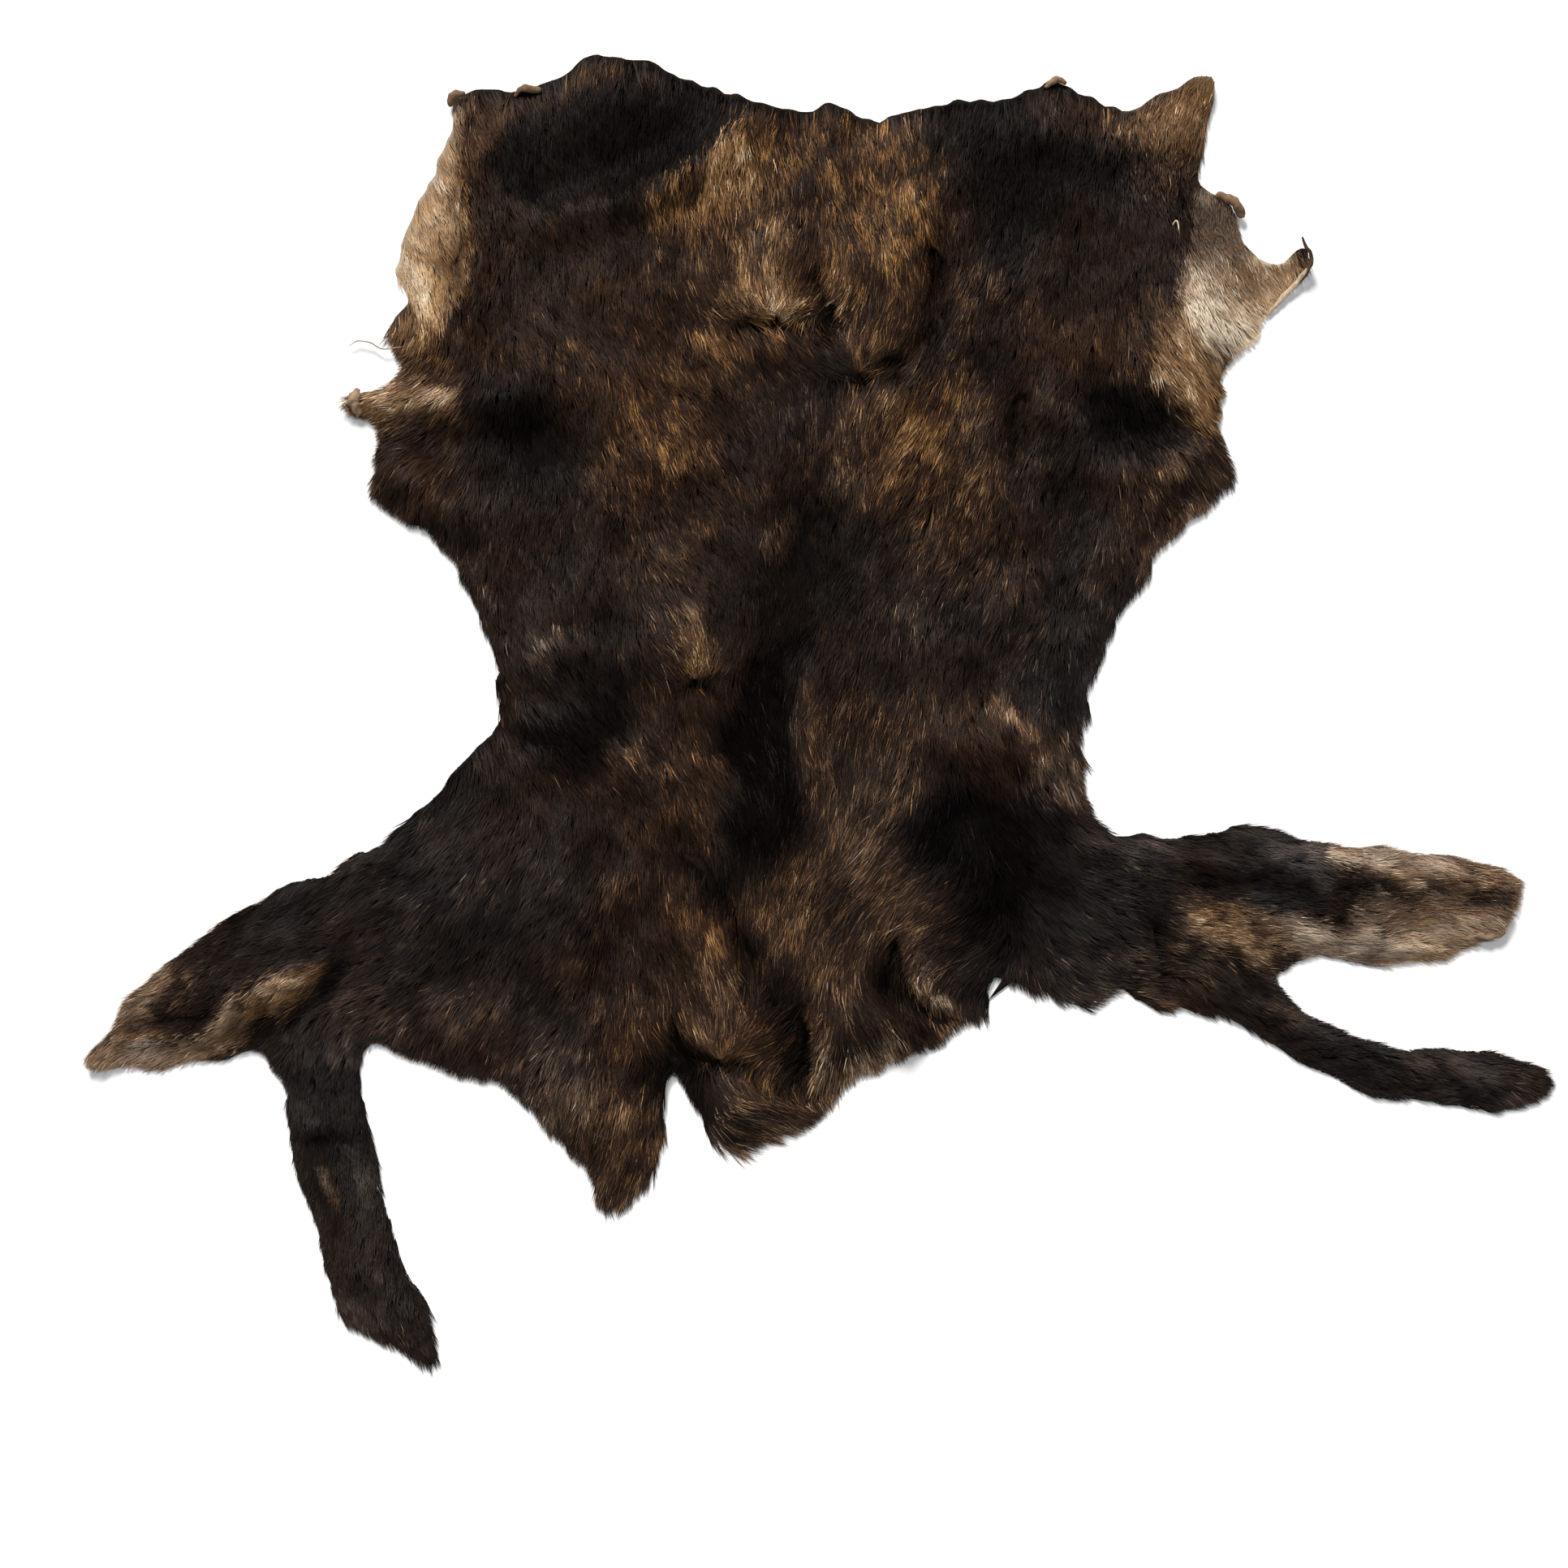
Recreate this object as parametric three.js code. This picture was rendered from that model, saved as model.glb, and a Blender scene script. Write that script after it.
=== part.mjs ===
// A moose hide, tanned whole with its hair on and laid out on a floor, hair side up.
// It is one skin and one solid: a flat underside, a top that follows the depth of the hair and the
// folds of the skin, and pointed locks of hair round the rim.
// Millimetres. +X runs across the hide, +Y towards the neck, +Z up from the floor.

import * as THREE from 'three';

// Driving sizes
const SKIN_THICKNESS = 3;
const RIM_THICKNESS = 6; // skin with the short hair that lies over its edge
const RIM_SLOPE = 70; // width over which the hair thins out towards the rim
const BODY_PILE = 13; // depth of the lying hair where the tables below add nothing
const LOCK_THICKNESS = 2.5;
const LOCK_SPREAD = { least: 0.3, most: 1.3 }; // shares of the tabled length
const SHORTEST_LOCK = 5;
const LOCK_CLEARANCE = 0.5; // share of its length by which a lock's tip must clear the rim
const LOCK_LEAN = 0.3; // share of its length by which a lock leans towards the tail
const LOCK_INSET = 0.35; // share of the locks' length by which the skin ends short of the hair
const RIM_STEP = 22;
const TOP_STEP = 33;
const UNDERSIDE_STEP = 130;
const RIM_MARGIN = 0.55; // share of a step that inner points keep from the rim
const POINT_SCATTER = 4;
const CONTOUR_STEP = 16;
const LIMB_BLEND = 12; // fillet where a limb grows out of the trunk
const RIM_WAVE = { height: 3.5, length: 112, sway: 1.5, swayLength: 245 }; // the cut edge is never straight
const LUMP_COUNT = 340;
const LUMP_HEIGHT = 8;
const LUMP_REACH = { least: 45, most: 130 };
const HALF_SPAN = 1500; // half the side of a square that holds the whole hide
const SEED = 7;

// The trunk's four edges, one row for each place where the edge turns
const NECK_EDGE = [
  { x: -690, y: 1150 },
  { x: -610, y: 1158 },
  { x: -565, y: 1157 },
  { x: -515, y: 1162 },
  { x: -470, y: 1190 },
  { x: -430, y: 1220 },
  { x: -370, y: 1226 },
  { x: -315, y: 1220 },
  { x: -285, y: 1192 },
  { x: -235, y: 1182 },
  { x: -155, y: 1150 },
  { x: -70, y: 1134 },
  { x: 5, y: 1128 },
  { x: 25, y: 1144 },
  { x: 50, y: 1122 },
  { x: 110, y: 1104 },
  { x: 185, y: 1134 },
  { x: 290, y: 1138 },
  { x: 390, y: 1150 },
  { x: 440, y: 1182 },
  { x: 480, y: 1152 },
  { x: 540, y: 1126 },
  { x: 590, y: 1118 },
  { x: 650, y: 1156 },
  { x: 705, y: 1183 },
  { x: 740, y: 1187 },
];
const LEFT_FLANK = [
  { y: 1150, x: -684 },
  { y: 1080, x: -686 },
  { y: 1020, x: -708 },
  { y: 960, x: -736 },
  { y: 870, x: -780 },
  { y: 810, x: -784 },
  { y: 765, x: -768 },
  { y: 715, x: -808 },
  { y: 680, x: -806 },
  { y: 640, x: -782 },
  { y: 560, x: -805 },
  { y: 500, x: -820 },
  { y: 400, x: -832 },
  { y: 365, x: -786 },
  { y: 330, x: -720 },
  { y: 280, x: -677 },
  { y: 210, x: -638 },
  { y: 120, x: -607 },
  { y: 30, x: -599 },
  { y: -30, x: -608 },
  { y: -60, x: -645 },
  { y: -110, x: -688 },
  { y: -180, x: -750 },
  { y: -230, x: -806 },
  { y: -270, x: -880 },
  { y: -330, x: -1020 },
  { y: -360, x: -1072 },
];
const RIGHT_FLANK = [
  { y: 1180, x: 739 },
  { y: 1100, x: 732 },
  { y: 1050, x: 720 },
  { y: 980, x: 706 },
  { y: 870, x: 725 },
  { y: 800, x: 808 },
  { y: 740, x: 834 },
  { y: 690, x: 815 },
  { y: 650, x: 776 },
  { y: 620, x: 754 },
  { y: 560, x: 752 },
  { y: 510, x: 757 },
  { y: 455, x: 776 },
  { y: 425, x: 772 },
  { y: 390, x: 734 },
  { y: 345, x: 682 },
  { y: 280, x: 628 },
  { y: 200, x: 572 },
  { y: 100, x: 532 },
  { y: 30, x: 508 },
  { y: -60, x: 491 },
  { y: -120, x: 494 },
  { y: -170, x: 508 },
  { y: -230, x: 540 },
];
const RUMP_EDGE = [
  { x: -840, y: -592 },
  { x: -770, y: -628 },
  { x: -695, y: -662 },
  { x: -590, y: -688 },
  { x: -535, y: -722 },
  { x: -490, y: -780 },
  { x: -430, y: -842 },
  { x: -400, y: -920 },
  { x: -378, y: -940 },
  { x: -345, y: -910 },
  { x: -305, y: -858 },
  { x: -275, y: -780 },
  { x: -257, y: -712 },
  { x: -236, y: -742 },
  { x: -206, y: -790 },
  { x: -176, y: -826 },
  { x: -116, y: -808 },
  { x: -34, y: -778 },
  { x: 20, y: -726 },
  { x: 80, y: -674 },
  { x: 140, y: -647 },
  { x: 220, y: -622 },
  { x: 270, y: -576 },
  { x: 306, y: -568 },
  { x: 334, y: -502 },
  { x: 380, y: -512 },
  { x: 460, y: -538 },
  { x: 560, y: -544 },
];

// Legs and flaps, one row for each cross-section: its middle, half its width and the hair's depth there
const LEFT_SHANK = [
  { x: -865, y: -450, half: 165, pile: 14 },
  { x: -1010, y: -482, half: 136, pile: 12 },
  { x: -1125, y: -534, half: 108, pile: 8 },
  { x: -1218, y: -580, half: 80, pile: 6 },
  { x: -1280, y: -622, half: 42, pile: 5 },
  { x: -1343, y: -648, half: 14, pile: 3 },
];
const LEFT_FOOT = [
  { x: -938, y: -584, half: 92, pile: 14 },
  { x: -912, y: -674, half: 72, pile: 14 },
  { x: -906, y: -750, half: 71, pile: 15 },
  { x: -891, y: -824, half: 78, pile: 12 },
  { x: -866, y: -900, half: 64, pile: 12 },
  { x: -851, y: -975, half: 69, pile: 13 },
  { x: -830, y: -1050, half: 80, pile: 13 },
  { x: -812, y: -1084, half: 74, pile: 13 },
  { x: -764, y: -1116, half: 56, pile: 12 },
  { x: -727, y: -1168, half: 32, pile: 9 },
  { x: -707, y: -1214, half: 16, pile: 4 },
];
const RIGHT_SHANK = [
  { x: 590, y: -374, half: 156, pile: 16 },
  { x: 710, y: -360, half: 143, pile: 14 },
  { x: 800, y: -345, half: 143, pile: 12 },
  { x: 890, y: -336, half: 108, pile: 9 },
  { x: 1010, y: -356, half: 110, pile: 6 },
  { x: 1130, y: -356, half: 104, pile: 5 },
  { x: 1220, y: -342, half: 74, pile: 4 },
  { x: 1258, y: -328, half: 42, pile: 3 },
];
const RIGHT_FOOT = [
  { x: 650, y: -464, half: 88, pile: 16 },
  { x: 770, y: -500, half: 62, pile: 15 },
  { x: 856, y: -574, half: 40, pile: 18 },
  { x: 950, y: -626, half: 44, pile: 21 },
  { x: 1055, y: -664, half: 48, pile: 23 },
  { x: 1145, y: -668, half: 48, pile: 24 },
  { x: 1235, y: -678, half: 54, pile: 22 },
  { x: 1300, y: -684, half: 44, pile: 15 },
  { x: 1340, y: -689, half: 20, pile: 6 },
];
const RIGHT_FLAP = [
  { x: 738, y: 930, half: 38, pile: 10 },
  { x: 740, y: 876, half: 48, pile: 9 },
  { x: 736, y: 796, half: 74, pile: 7 },
  { x: 815, y: 792, half: 54, pile: 5 },
  { x: 870, y: 810, half: 24, pile: 4 },
  { x: 895, y: 860, half: 15, pile: 3 },
];
const LEFT_TAB = [
  { x: -760, y: 572, half: 46, pile: 14 },
  { x: -834, y: 566, half: 34, pile: 12 },
  { x: -854, y: 562, half: 22, pile: 8 },
];
const LIMBS = [LEFT_SHANK, LEFT_FOOT, RIGHT_SHANK, RIGHT_FOOT, RIGHT_FLAP, LEFT_TAB];

// Where the hair lies deeper than on the rest of the body
const DEEP_HAIR = [
  { name: 'neck mane', x: -20, y: 900, reach: 300, depth: 12 },
  { name: 'withers whorl', x: -60, y: 770, reach: 130, depth: 10 },
  { name: 'second whorl', x: 95, y: 690, reach: 90, depth: 10 },
  { name: 'back', x: 0, y: 260, reach: 330, depth: 9 },
  { name: 'loin spot', x: -250, y: 105, reach: 80, depth: 9 },
  { name: 'rump mane', x: 20, y: -330, reach: 290, depth: 18 },
  { name: 'tail', x: -130, y: -640, reach: 190, depth: 14 },
  { name: 'left haunch', x: -540, y: -330, reach: 260, depth: 8 },
  { name: 'right haunch', x: 400, y: -300, reach: 200, depth: 10 },
];

// Creases, with a negative rise, and ridges, each a soft line from one end to the other
const FOLDS = [
  { name: 'neck lip', x0: -115, y0: 1098, x1: -310, y1: 962, width: 34, rise: 16 },
  { name: 'neck lip tail', x0: -310, y0: 962, x1: -480, y1: 922, width: 30, rise: 12 },
  { name: 'hollow under neck lip', x0: -170, y0: 1130, x1: -380, y1: 1000, width: 46, rise: -9 },
  { name: 'left strip crease', x0: -655, y0: 1125, x1: -655, y1: 700, width: 20, rise: -10 },
  { name: 'left strip ridge', x0: -625, y0: 1120, x1: -620, y1: 720, width: 30, rise: 11 },
  { name: 'shoulder crease', x0: 371, y0: 580, x1: 371, y1: 475, width: 24, rise: -15 },
  { name: 'shoulder ridge', x0: 405, y0: 590, x1: 400, y1: 470, width: 34, rise: 10 },
  { name: 'spine trough', x0: -10, y0: 362, x1: -130, y1: -75, width: 62, rise: -16 },
  { name: 'right haunch lip', x0: 250, y0: -58, x1: 484, y1: -88, width: 38, rise: 21 },
  { name: 'hollow under haunch lip', x0: 260, y0: -150, x1: 460, y1: -170, width: 60, rise: -11 },
  { name: 'rump groove', x0: -236, y0: -240, x1: -116, y1: -480, width: 34, rise: -16 },
  { name: 'rump groove end', x0: -116, y0: -480, x1: -34, y1: -614, width: 32, rise: -16 },
  { name: 'tail slit', x0: -34, y0: -555, x1: -34, y1: -690, width: 24, rise: -18 },
  { name: 'notch groove', x0: -266, y0: -585, x1: -257, y1: -700, width: 26, rise: -15 },
  { name: 'right lobe crease', x0: 124, y0: -494, x1: 259, y1: -569, width: 28, rise: -14 },
  { name: 'right knee crease', x0: 626, y0: -404, x1: 649, y1: -524, width: 28, rise: -11 },
  { name: 'right shank crease', x0: 740, y0: -434, x1: 830, y1: -510, width: 24, rise: -10 },
  { name: 'right thigh ridge', x0: 530, y0: -225, x1: 900, y1: -265, width: 44, rise: 15 },
  { name: 'left foot cuff', x0: -955, y0: -738, x1: -850, y1: -742, width: 20, rise: 11 },
  { name: 'left elbow ridge', x0: -800, y0: 445, x1: -665, y1: 362, width: 44, rise: 20 },
  { name: 'left armpit hollow', x0: -620, y0: 520, x1: -530, y1: 500, width: 60, rise: -11 },
  { name: 'rolled tab', x0: -850, y0: 576, x1: -560, y1: 545, width: 36, rise: 22 },
  { name: 'right flap edge', x0: 706, y0: 978, x1: 700, y1: 665, width: 28, rise: 16 },
  { name: 'right tuft', x0: 634, y0: 648, x1: 750, y1: 530, width: 46, rise: 18 },
  { name: 'ear corner', x0: 590, y0: 1080, x1: 722, y1: 1160, width: 36, rise: 18 },
  { name: 'left thigh fold', x0: -1060, y0: -540, x1: -896, y1: -478, width: 32, rise: 16 },
  { name: 'left haunch ridge', x0: -690, y0: -130, x1: -420, y1: -40, width: 60, rise: 10 },
];

// Edges that curl up off the floor
const CURLS = [
  { name: 'neck corner', x: -680, y: 1145, reach: 70, lift: 12 },
  { name: 'ear tip', x: 725, y: 1170, reach: 80, lift: 15 },
  { name: 'right knob', x: 760, y: 945, reach: 60, lift: 14 },
  { name: 'right flap tip', x: 900, y: 860, reach: 90, lift: 24 },
  { name: 'rolled tab end', x: -865, y: 575, reach: 60, lift: 12 },
  { name: 'left shank tip', x: -1350, y: -640, reach: 80, lift: 12 },
  { name: 'right shank corner', x: 1260, y: -385, reach: 75, lift: 14 },
];

// Length of the locks on each stretch of rim, by the nearest of these places. Bare stretches have none.
const LOCKS = [
  { name: 'neck bulge', x: -370, y: 1230, length: 4 },
  { name: 'neck', x: -200, y: 1170, length: 18 },
  { name: 'neck middle', x: 100, y: 1120, length: 18 },
  { name: 'neck right', x: 400, y: 1150, length: 14 },
  { name: 'ear', x: 710, y: 1130, length: 0 },
  { name: 'right flap', x: 830, y: 850, length: 0 },
  { name: 'right tuft', x: 780, y: 690, length: 26 },
  { name: 'right armpit', x: 765, y: 500, length: 22 },
  { name: 'right flank', x: 560, y: 190, length: 16 },
  { name: 'right loin', x: 495, y: -60, length: 20 },
  { name: 'right thigh', x: 640, y: -215, length: 9 },
  { name: 'right shank', x: 1080, y: -330, length: 0 },
  { name: 'right foot', x: 1100, y: -680, length: 14 },
  { name: 'right hock', x: 560, y: -550, length: 26 },
  { name: 'right rump', x: 240, y: -610, length: 34 },
  { name: 'tail right', x: 40, y: -720, length: 36 },
  { name: 'tail hair', x: -176, y: -830, length: 56 },
  { name: 'tail left', x: -390, y: -900, length: 34 },
  { name: 'left rump', x: -620, y: -690, length: 26 },
  { name: 'left foot top', x: -900, y: -650, length: 8 },
  { name: 'left foot', x: -840, y: -1060, length: 22 },
  { name: 'left shank', x: -1200, y: -560, length: 0 },
  { name: 'left thigh', x: -900, y: -270, length: 9 },
  { name: 'left haunch', x: -640, y: -60, length: 26 },
  { name: 'left flank', x: -610, y: 200, length: 16 },
  { name: 'left elbow', x: -840, y: 430, length: 12 },
  { name: 'left tab', x: -880, y: 590, length: 0 },
  { name: 'left tuft', x: -800, y: 700, length: 30 },
  { name: 'left strip', x: -730, y: 970, length: 8 },
];

// Chance, from a seed, so that every build gives the same hide
function seededChance(seed) {
  let state = seed;
  return () => {
    state = (state * 1664525 + 1013904223) % 4294967296;
    return state / 4294967296;
  };
}

const clamp01 = (value) => Math.min(1, Math.max(0, value));
const mix = (a, b, share) => a + (b - a) * share;
const smooth = (share) => share * share * (3 - 2 * share);
const bell = (distance, reach) => Math.exp(-((distance / reach) ** 2));

// The height of an edge at one place, from its table of turning points
function edgeAt(rows, key, value, at) {
  const rising = rows[0][key] < rows[rows.length - 1][key];
  const ordered = rising ? rows : [...rows].reverse();
  const last = ordered.length - 1;
  const next = ordered.findIndex((row) => row[key] > at);
  if (next === 0) return ordered[0][value];
  if (next < 0) return ordered[last][value];
  const [from, to] = [ordered[next - 1], ordered[next]];
  return mix(from[value], to[value], smooth((at - from[key]) / (to[key] - from[key])));
}

// Distance to an edge, allowing for its slope
function edgeDistance(rows, key, value, at, across) {
  const probe = 5;
  const here = edgeAt(rows, key, value, at);
  const slope = (edgeAt(rows, key, value, at + probe) - edgeAt(rows, key, value, at - probe)) / (2 * probe);
  return (across - here) / Math.hypot(1, slope);
}

function trunkDepth(x, y) {
  return Math.min(
    -edgeDistance(NECK_EDGE, 'x', 'y', x, y),
    edgeDistance(RUMP_EDGE, 'x', 'y', x, y),
    edgeDistance(LEFT_FLANK, 'y', 'x', y, x),
    -edgeDistance(RIGHT_FLANK, 'y', 'x', y, x),
  );
}

// How deep a point lies inside a limb, and the hair's depth on the nearest section
function limbDepth(rows, x, y) {
  let best = { depth: -Infinity, pile: 0 };
  for (let i = 0; i + 1 < rows.length; i += 1) {
    const [from, to] = [rows[i], rows[i + 1]];
    const [spanX, spanY] = [to.x - from.x, to.y - from.y];
    const share = clamp01(((x - from.x) * spanX + (y - from.y) * spanY) / (spanX ** 2 + spanY ** 2));
    const away = Math.hypot(x - from.x - spanX * share, y - from.y - spanY * share);
    const depth = mix(from.half, to.half, share) - away;
    if (depth > best.depth) best = { depth, pile: mix(from.pile, to.pile, share) };
  }
  return best;
}

function rimWave(x, y) {
  const { height, length, sway, swayLength } = RIM_WAVE;
  const wave = (along, across) => {
    const bend = sway * Math.sin((2 * Math.PI * across) / swayLength);
    return Math.sin((2 * Math.PI * along) / length + bend);
  };
  return height * (wave(x, y) + wave(y, x));
}

// The locks' length at a place on the rim, blended between the nearest of the named places
function lockLength(x, y) {
  let total = 0;
  let weights = 0;
  for (const place of LOCKS) {
    const weight = 1 / (1 + Math.hypot(x - place.x, y - place.y)) ** 4;
    total += weight * place.length;
    weights += weight;
  }
  return total / weights;
}

// How deep a point lies inside the skin's outline: zero on the rim, negative outside
function depthInside(x, y) {
  let depth = trunkDepth(x, y);
  for (const rows of LIMBS) {
    const limb = limbDepth(rows, x, y).depth;
    const near = Math.max(0, LIMB_BLEND - Math.abs(depth - limb)) / LIMB_BLEND;
    depth = Math.max(depth, limb) + (near * near * LIMB_BLEND) / 4;
  }
  return depth + rimWave(x, y) - LOCK_INSET * lockLength(x, y);
}

function liftAt(x, y) {
  let lift = 0;
  for (const curl of CURLS) {
    const share = clamp01(1 - Math.hypot(x - curl.x, y - curl.y) / curl.reach);
    lift = Math.max(lift, curl.lift * smooth(share));
  }
  return lift;
}

function foldsAt(x, y) {
  let rise = 0;
  for (const fold of FOLDS) {
    const [spanX, spanY] = [fold.x1 - fold.x0, fold.y1 - fold.y0];
    const share = clamp01(((x - fold.x0) * spanX + (y - fold.y0) * spanY) / (spanX ** 2 + spanY ** 2));
    const away = Math.hypot(x - fold.x0 - spanX * share, y - fold.y0 - spanY * share);
    rise += fold.rise * bell(away, fold.width);
  }
  return rise;
}

// Soft mounds and hollows that no two hides share, strewn by chance
const lumps = (() => {
  const chance = seededChance(SEED);
  return Array.from({ length: LUMP_COUNT }, () => ({
    x: mix(-HALF_SPAN, HALF_SPAN, chance()),
    y: mix(-HALF_SPAN, HALF_SPAN, chance()),
    reach: mix(LUMP_REACH.least, LUMP_REACH.most, chance()),
    rise: mix(-LUMP_HEIGHT, LUMP_HEIGHT, chance()),
  }));
})();

function lumpsAt(x, y) {
  let rise = 0;
  for (const lump of lumps) {
    rise += lump.rise * bell(Math.hypot(x - lump.x, y - lump.y), lump.reach);
  }
  return rise;
}

// Depth of the lying hair: the limbs' own on the limbs, deeper on the mane and rump
function pileAt(x, y) {
  let pile = BODY_PILE;
  if (trunkDepth(x, y) < 0) {
    const limbs = LIMBS.map((rows) => limbDepth(rows, x, y));
    limbs.sort((a, b) => b.depth - a.depth);
    pile = limbs[0].pile;
  }
  for (const place of DEEP_HAIR) {
    pile += place.depth * bell(Math.hypot(x - place.x, y - place.y), place.reach);
  }
  return pile;
}

function thicknessAt(x, y) {
  const share = smooth(clamp01(depthInside(x, y) / RIM_SLOPE));
  const full = SKIN_THICKNESS + pileAt(x, y) + foldsAt(x, y) + lumpsAt(x, y);
  return Math.max(RIM_THICKNESS, mix(RIM_THICKNESS, full, share));
}

// The crossings of the rim with a square grid, linked into one closed loop that runs anticlockwise
function traceRim() {
  const count = Math.round((2 * HALF_SPAN) / CONTOUR_STEP);
  const at = (index) => index * CONTOUR_STEP - HALF_SPAN;
  const depths = [];
  for (let j = 0; j <= count; j += 1) {
    depths.push(Array.from({ length: count + 1 }, (_, i) => depthInside(at(i), at(j))));
  }
  const links = new Map();
  const crossings = new Map();
  const crossing = (i0, j0, i1, j1) => {
    const key = `${Math.min(i0, i1)},${Math.min(j0, j1)},${i0 === i1}`;
    const share = depths[j0][i0] / (depths[j0][i0] - depths[j1][i1]);
    crossings.set(key, new THREE.Vector2(mix(at(i0), at(i1), share), mix(at(j0), at(j1), share)));
    return key;
  };
  for (let j = 0; j < count; j += 1) {
    for (let i = 0; i < count; i += 1) {
      const corners = [[i, j], [i + 1, j], [i + 1, j + 1], [i, j + 1]];
      const starts = [];
      const ends = [];
      corners.forEach(([i0, j0], k) => {
        const [i1, j1] = corners[(k + 1) % 4];
        const [first, second] = [depths[j0][i0] > 0, depths[j1][i1] > 0];
        if (first && !second) starts.push(crossing(i0, j0, i1, j1));
        if (!first && second) ends.push(crossing(i0, j0, i1, j1));
      });
      starts.forEach((key, k) => links.set(key, ends[k]));
    }
  }
  return longestLoop(links).map((key) => crossings.get(key));
}

function longestLoop(links) {
  let longest = [];
  while (links.size > 0) {
    const loop = [];
    let key = links.keys().next().value;
    while (links.has(key)) {
      const next = links.get(key);
      links.delete(key);
      loop.push(key);
      key = next;
    }
    if (loop.length > longest.length) longest = loop;
  }
  return longest;
}

// Points a step apart along a closed loop
function evenSteps(loop, step) {
  const path = new THREE.Path(loop);
  path.closePath();
  const count = Math.round(path.getLength() / step);
  return path.getSpacedPoints(count).slice(0, count);
}

// A triangular grid of points inside the outline, each moved a little by chance
function pointsInside(step, chance) {
  const points = [];
  const rowStep = (step * Math.sqrt(3)) / 2;
  for (let row = 0; row * rowStep < 2 * HALF_SPAN; row += 1) {
    for (let x = -HALF_SPAN + (row % 2) * (step / 2); x < HALF_SPAN; x += step) {
      const point = new THREE.Vector2(x, row * rowStep - HALF_SPAN);
      point.x += POINT_SCATTER * (2 * chance() - 1);
      point.y += POINT_SCATTER * (2 * chance() - 1);
      if (depthInside(point.x, point.y) > RIM_MARGIN * step) points.push(point);
    }
  }
  return points;
}

function circleThrough(points, corners) {
  const [a, b, c] = corners.map((corner) => points[corner]);
  const [bx, by, cx, cy] = [b.x - a.x, b.y - a.y, c.x - a.x, c.y - a.y];
  const twice = 2 * (bx * cy - by * cx);
  const x = (cy * (bx * bx + by * by) - by * (cx * cx + cy * cy)) / twice;
  const y = (bx * (cx * cx + cy * cy) - cx * (bx * bx + by * by)) / twice;
  return { corners, x: a.x + x, y: a.y + y, square: x * x + y * y };
}

// Delaunay triangles over all points, each anticlockwise, by adding one point at a time
function triangulate(points) {
  const far = 20 * HALF_SPAN; // the first triangle reaches far past every point
  const count = points.length;
  const all = [...points];
  all.push(new THREE.Vector2(-far, -far), new THREE.Vector2(far, -far), new THREE.Vector2(0, far));
  let triangles = [circleThrough(all, [count, count + 1, count + 2])];
  for (let index = 0; index < count; index += 1) {
    const point = all[index];
    const edges = new Map();
    triangles = triangles.filter((triangle) => {
      if ((point.x - triangle.x) ** 2 + (point.y - triangle.y) ** 2 >= triangle.square) return true;
      triangle.corners.forEach((from, k) => {
        const to = triangle.corners[(k + 1) % 3];
        if (!edges.delete(`${to},${from}`)) edges.set(`${from},${to}`, [from, to]);
      });
      return false;
    });
    for (const [from, to] of edges.values()) triangles.push(circleThrough(all, [from, to, index]));
  }
  return triangles.map((triangle) => triangle.corners).filter((corners) => Math.max(...corners) < count);
}

function insideLoop(loop, x, y) {
  let inside = false;
  loop.forEach((from, index) => {
    const to = loop[(index + 1) % loop.length];
    const crossing = from.x + ((y - from.y) * (to.x - from.x)) / (to.y - from.y);
    if (from.y > y !== to.y > y && x < crossing) inside = !inside;
  });
  return inside;
}

// The triangles of one face of the sheet. The rim's points come first, and every rim edge must be in it.
function fillRim(rim, inner) {
  const points = [...rim, ...inner];
  const kept = triangulate(points).filter((corners) => {
    const x = (points[corners[0]].x + points[corners[1]].x + points[corners[2]].x) / 3;
    const y = (points[corners[0]].y + points[corners[1]].y + points[corners[2]].y) / 3;
    return insideLoop(rim, x, y);
  });
  const edges = new Set(kept.flatMap((t) => [`${t[0]},${t[1]}`, `${t[1]},${t[2]}`, `${t[2]},${t[0]}`]));
  rim.forEach((point, index) => {
    if (!edges.has(`${index},${(index + 1) % rim.length}`)) {
      throw new Error(`The rim is broken near ${point.x.toFixed(0)}, ${point.y.toFixed(0)}`);
    }
  });
  return { points, triangles: kept };
}


// Tips of the locks, by the rim edge each one stands on. Every second edge at most carries a lock.
function lockTips(rim, chance) {
  const tips = new Map();
  for (let index = 0; index + 1 < rim.length; index += 2) {
    const [from, to] = [rim[index], rim[index + 1]];
    const outward = new THREE.Vector2(to.y - from.y, from.x - to.x).normalize();
    const middle = from.clone().add(to).multiplyScalar(0.5);
    const length = lockLength(middle.x, middle.y) * mix(LOCK_SPREAD.least, LOCK_SPREAD.most, chance());
    const tip = middle.addScaledVector(outward, length);
    tip.y -= LOCK_LEAN * length;
    if (length > SHORTEST_LOCK && depthInside(tip.x, tip.y) < -LOCK_CLEARANCE * length) tips.set(index, tip);
  }
  return tips;
}

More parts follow.
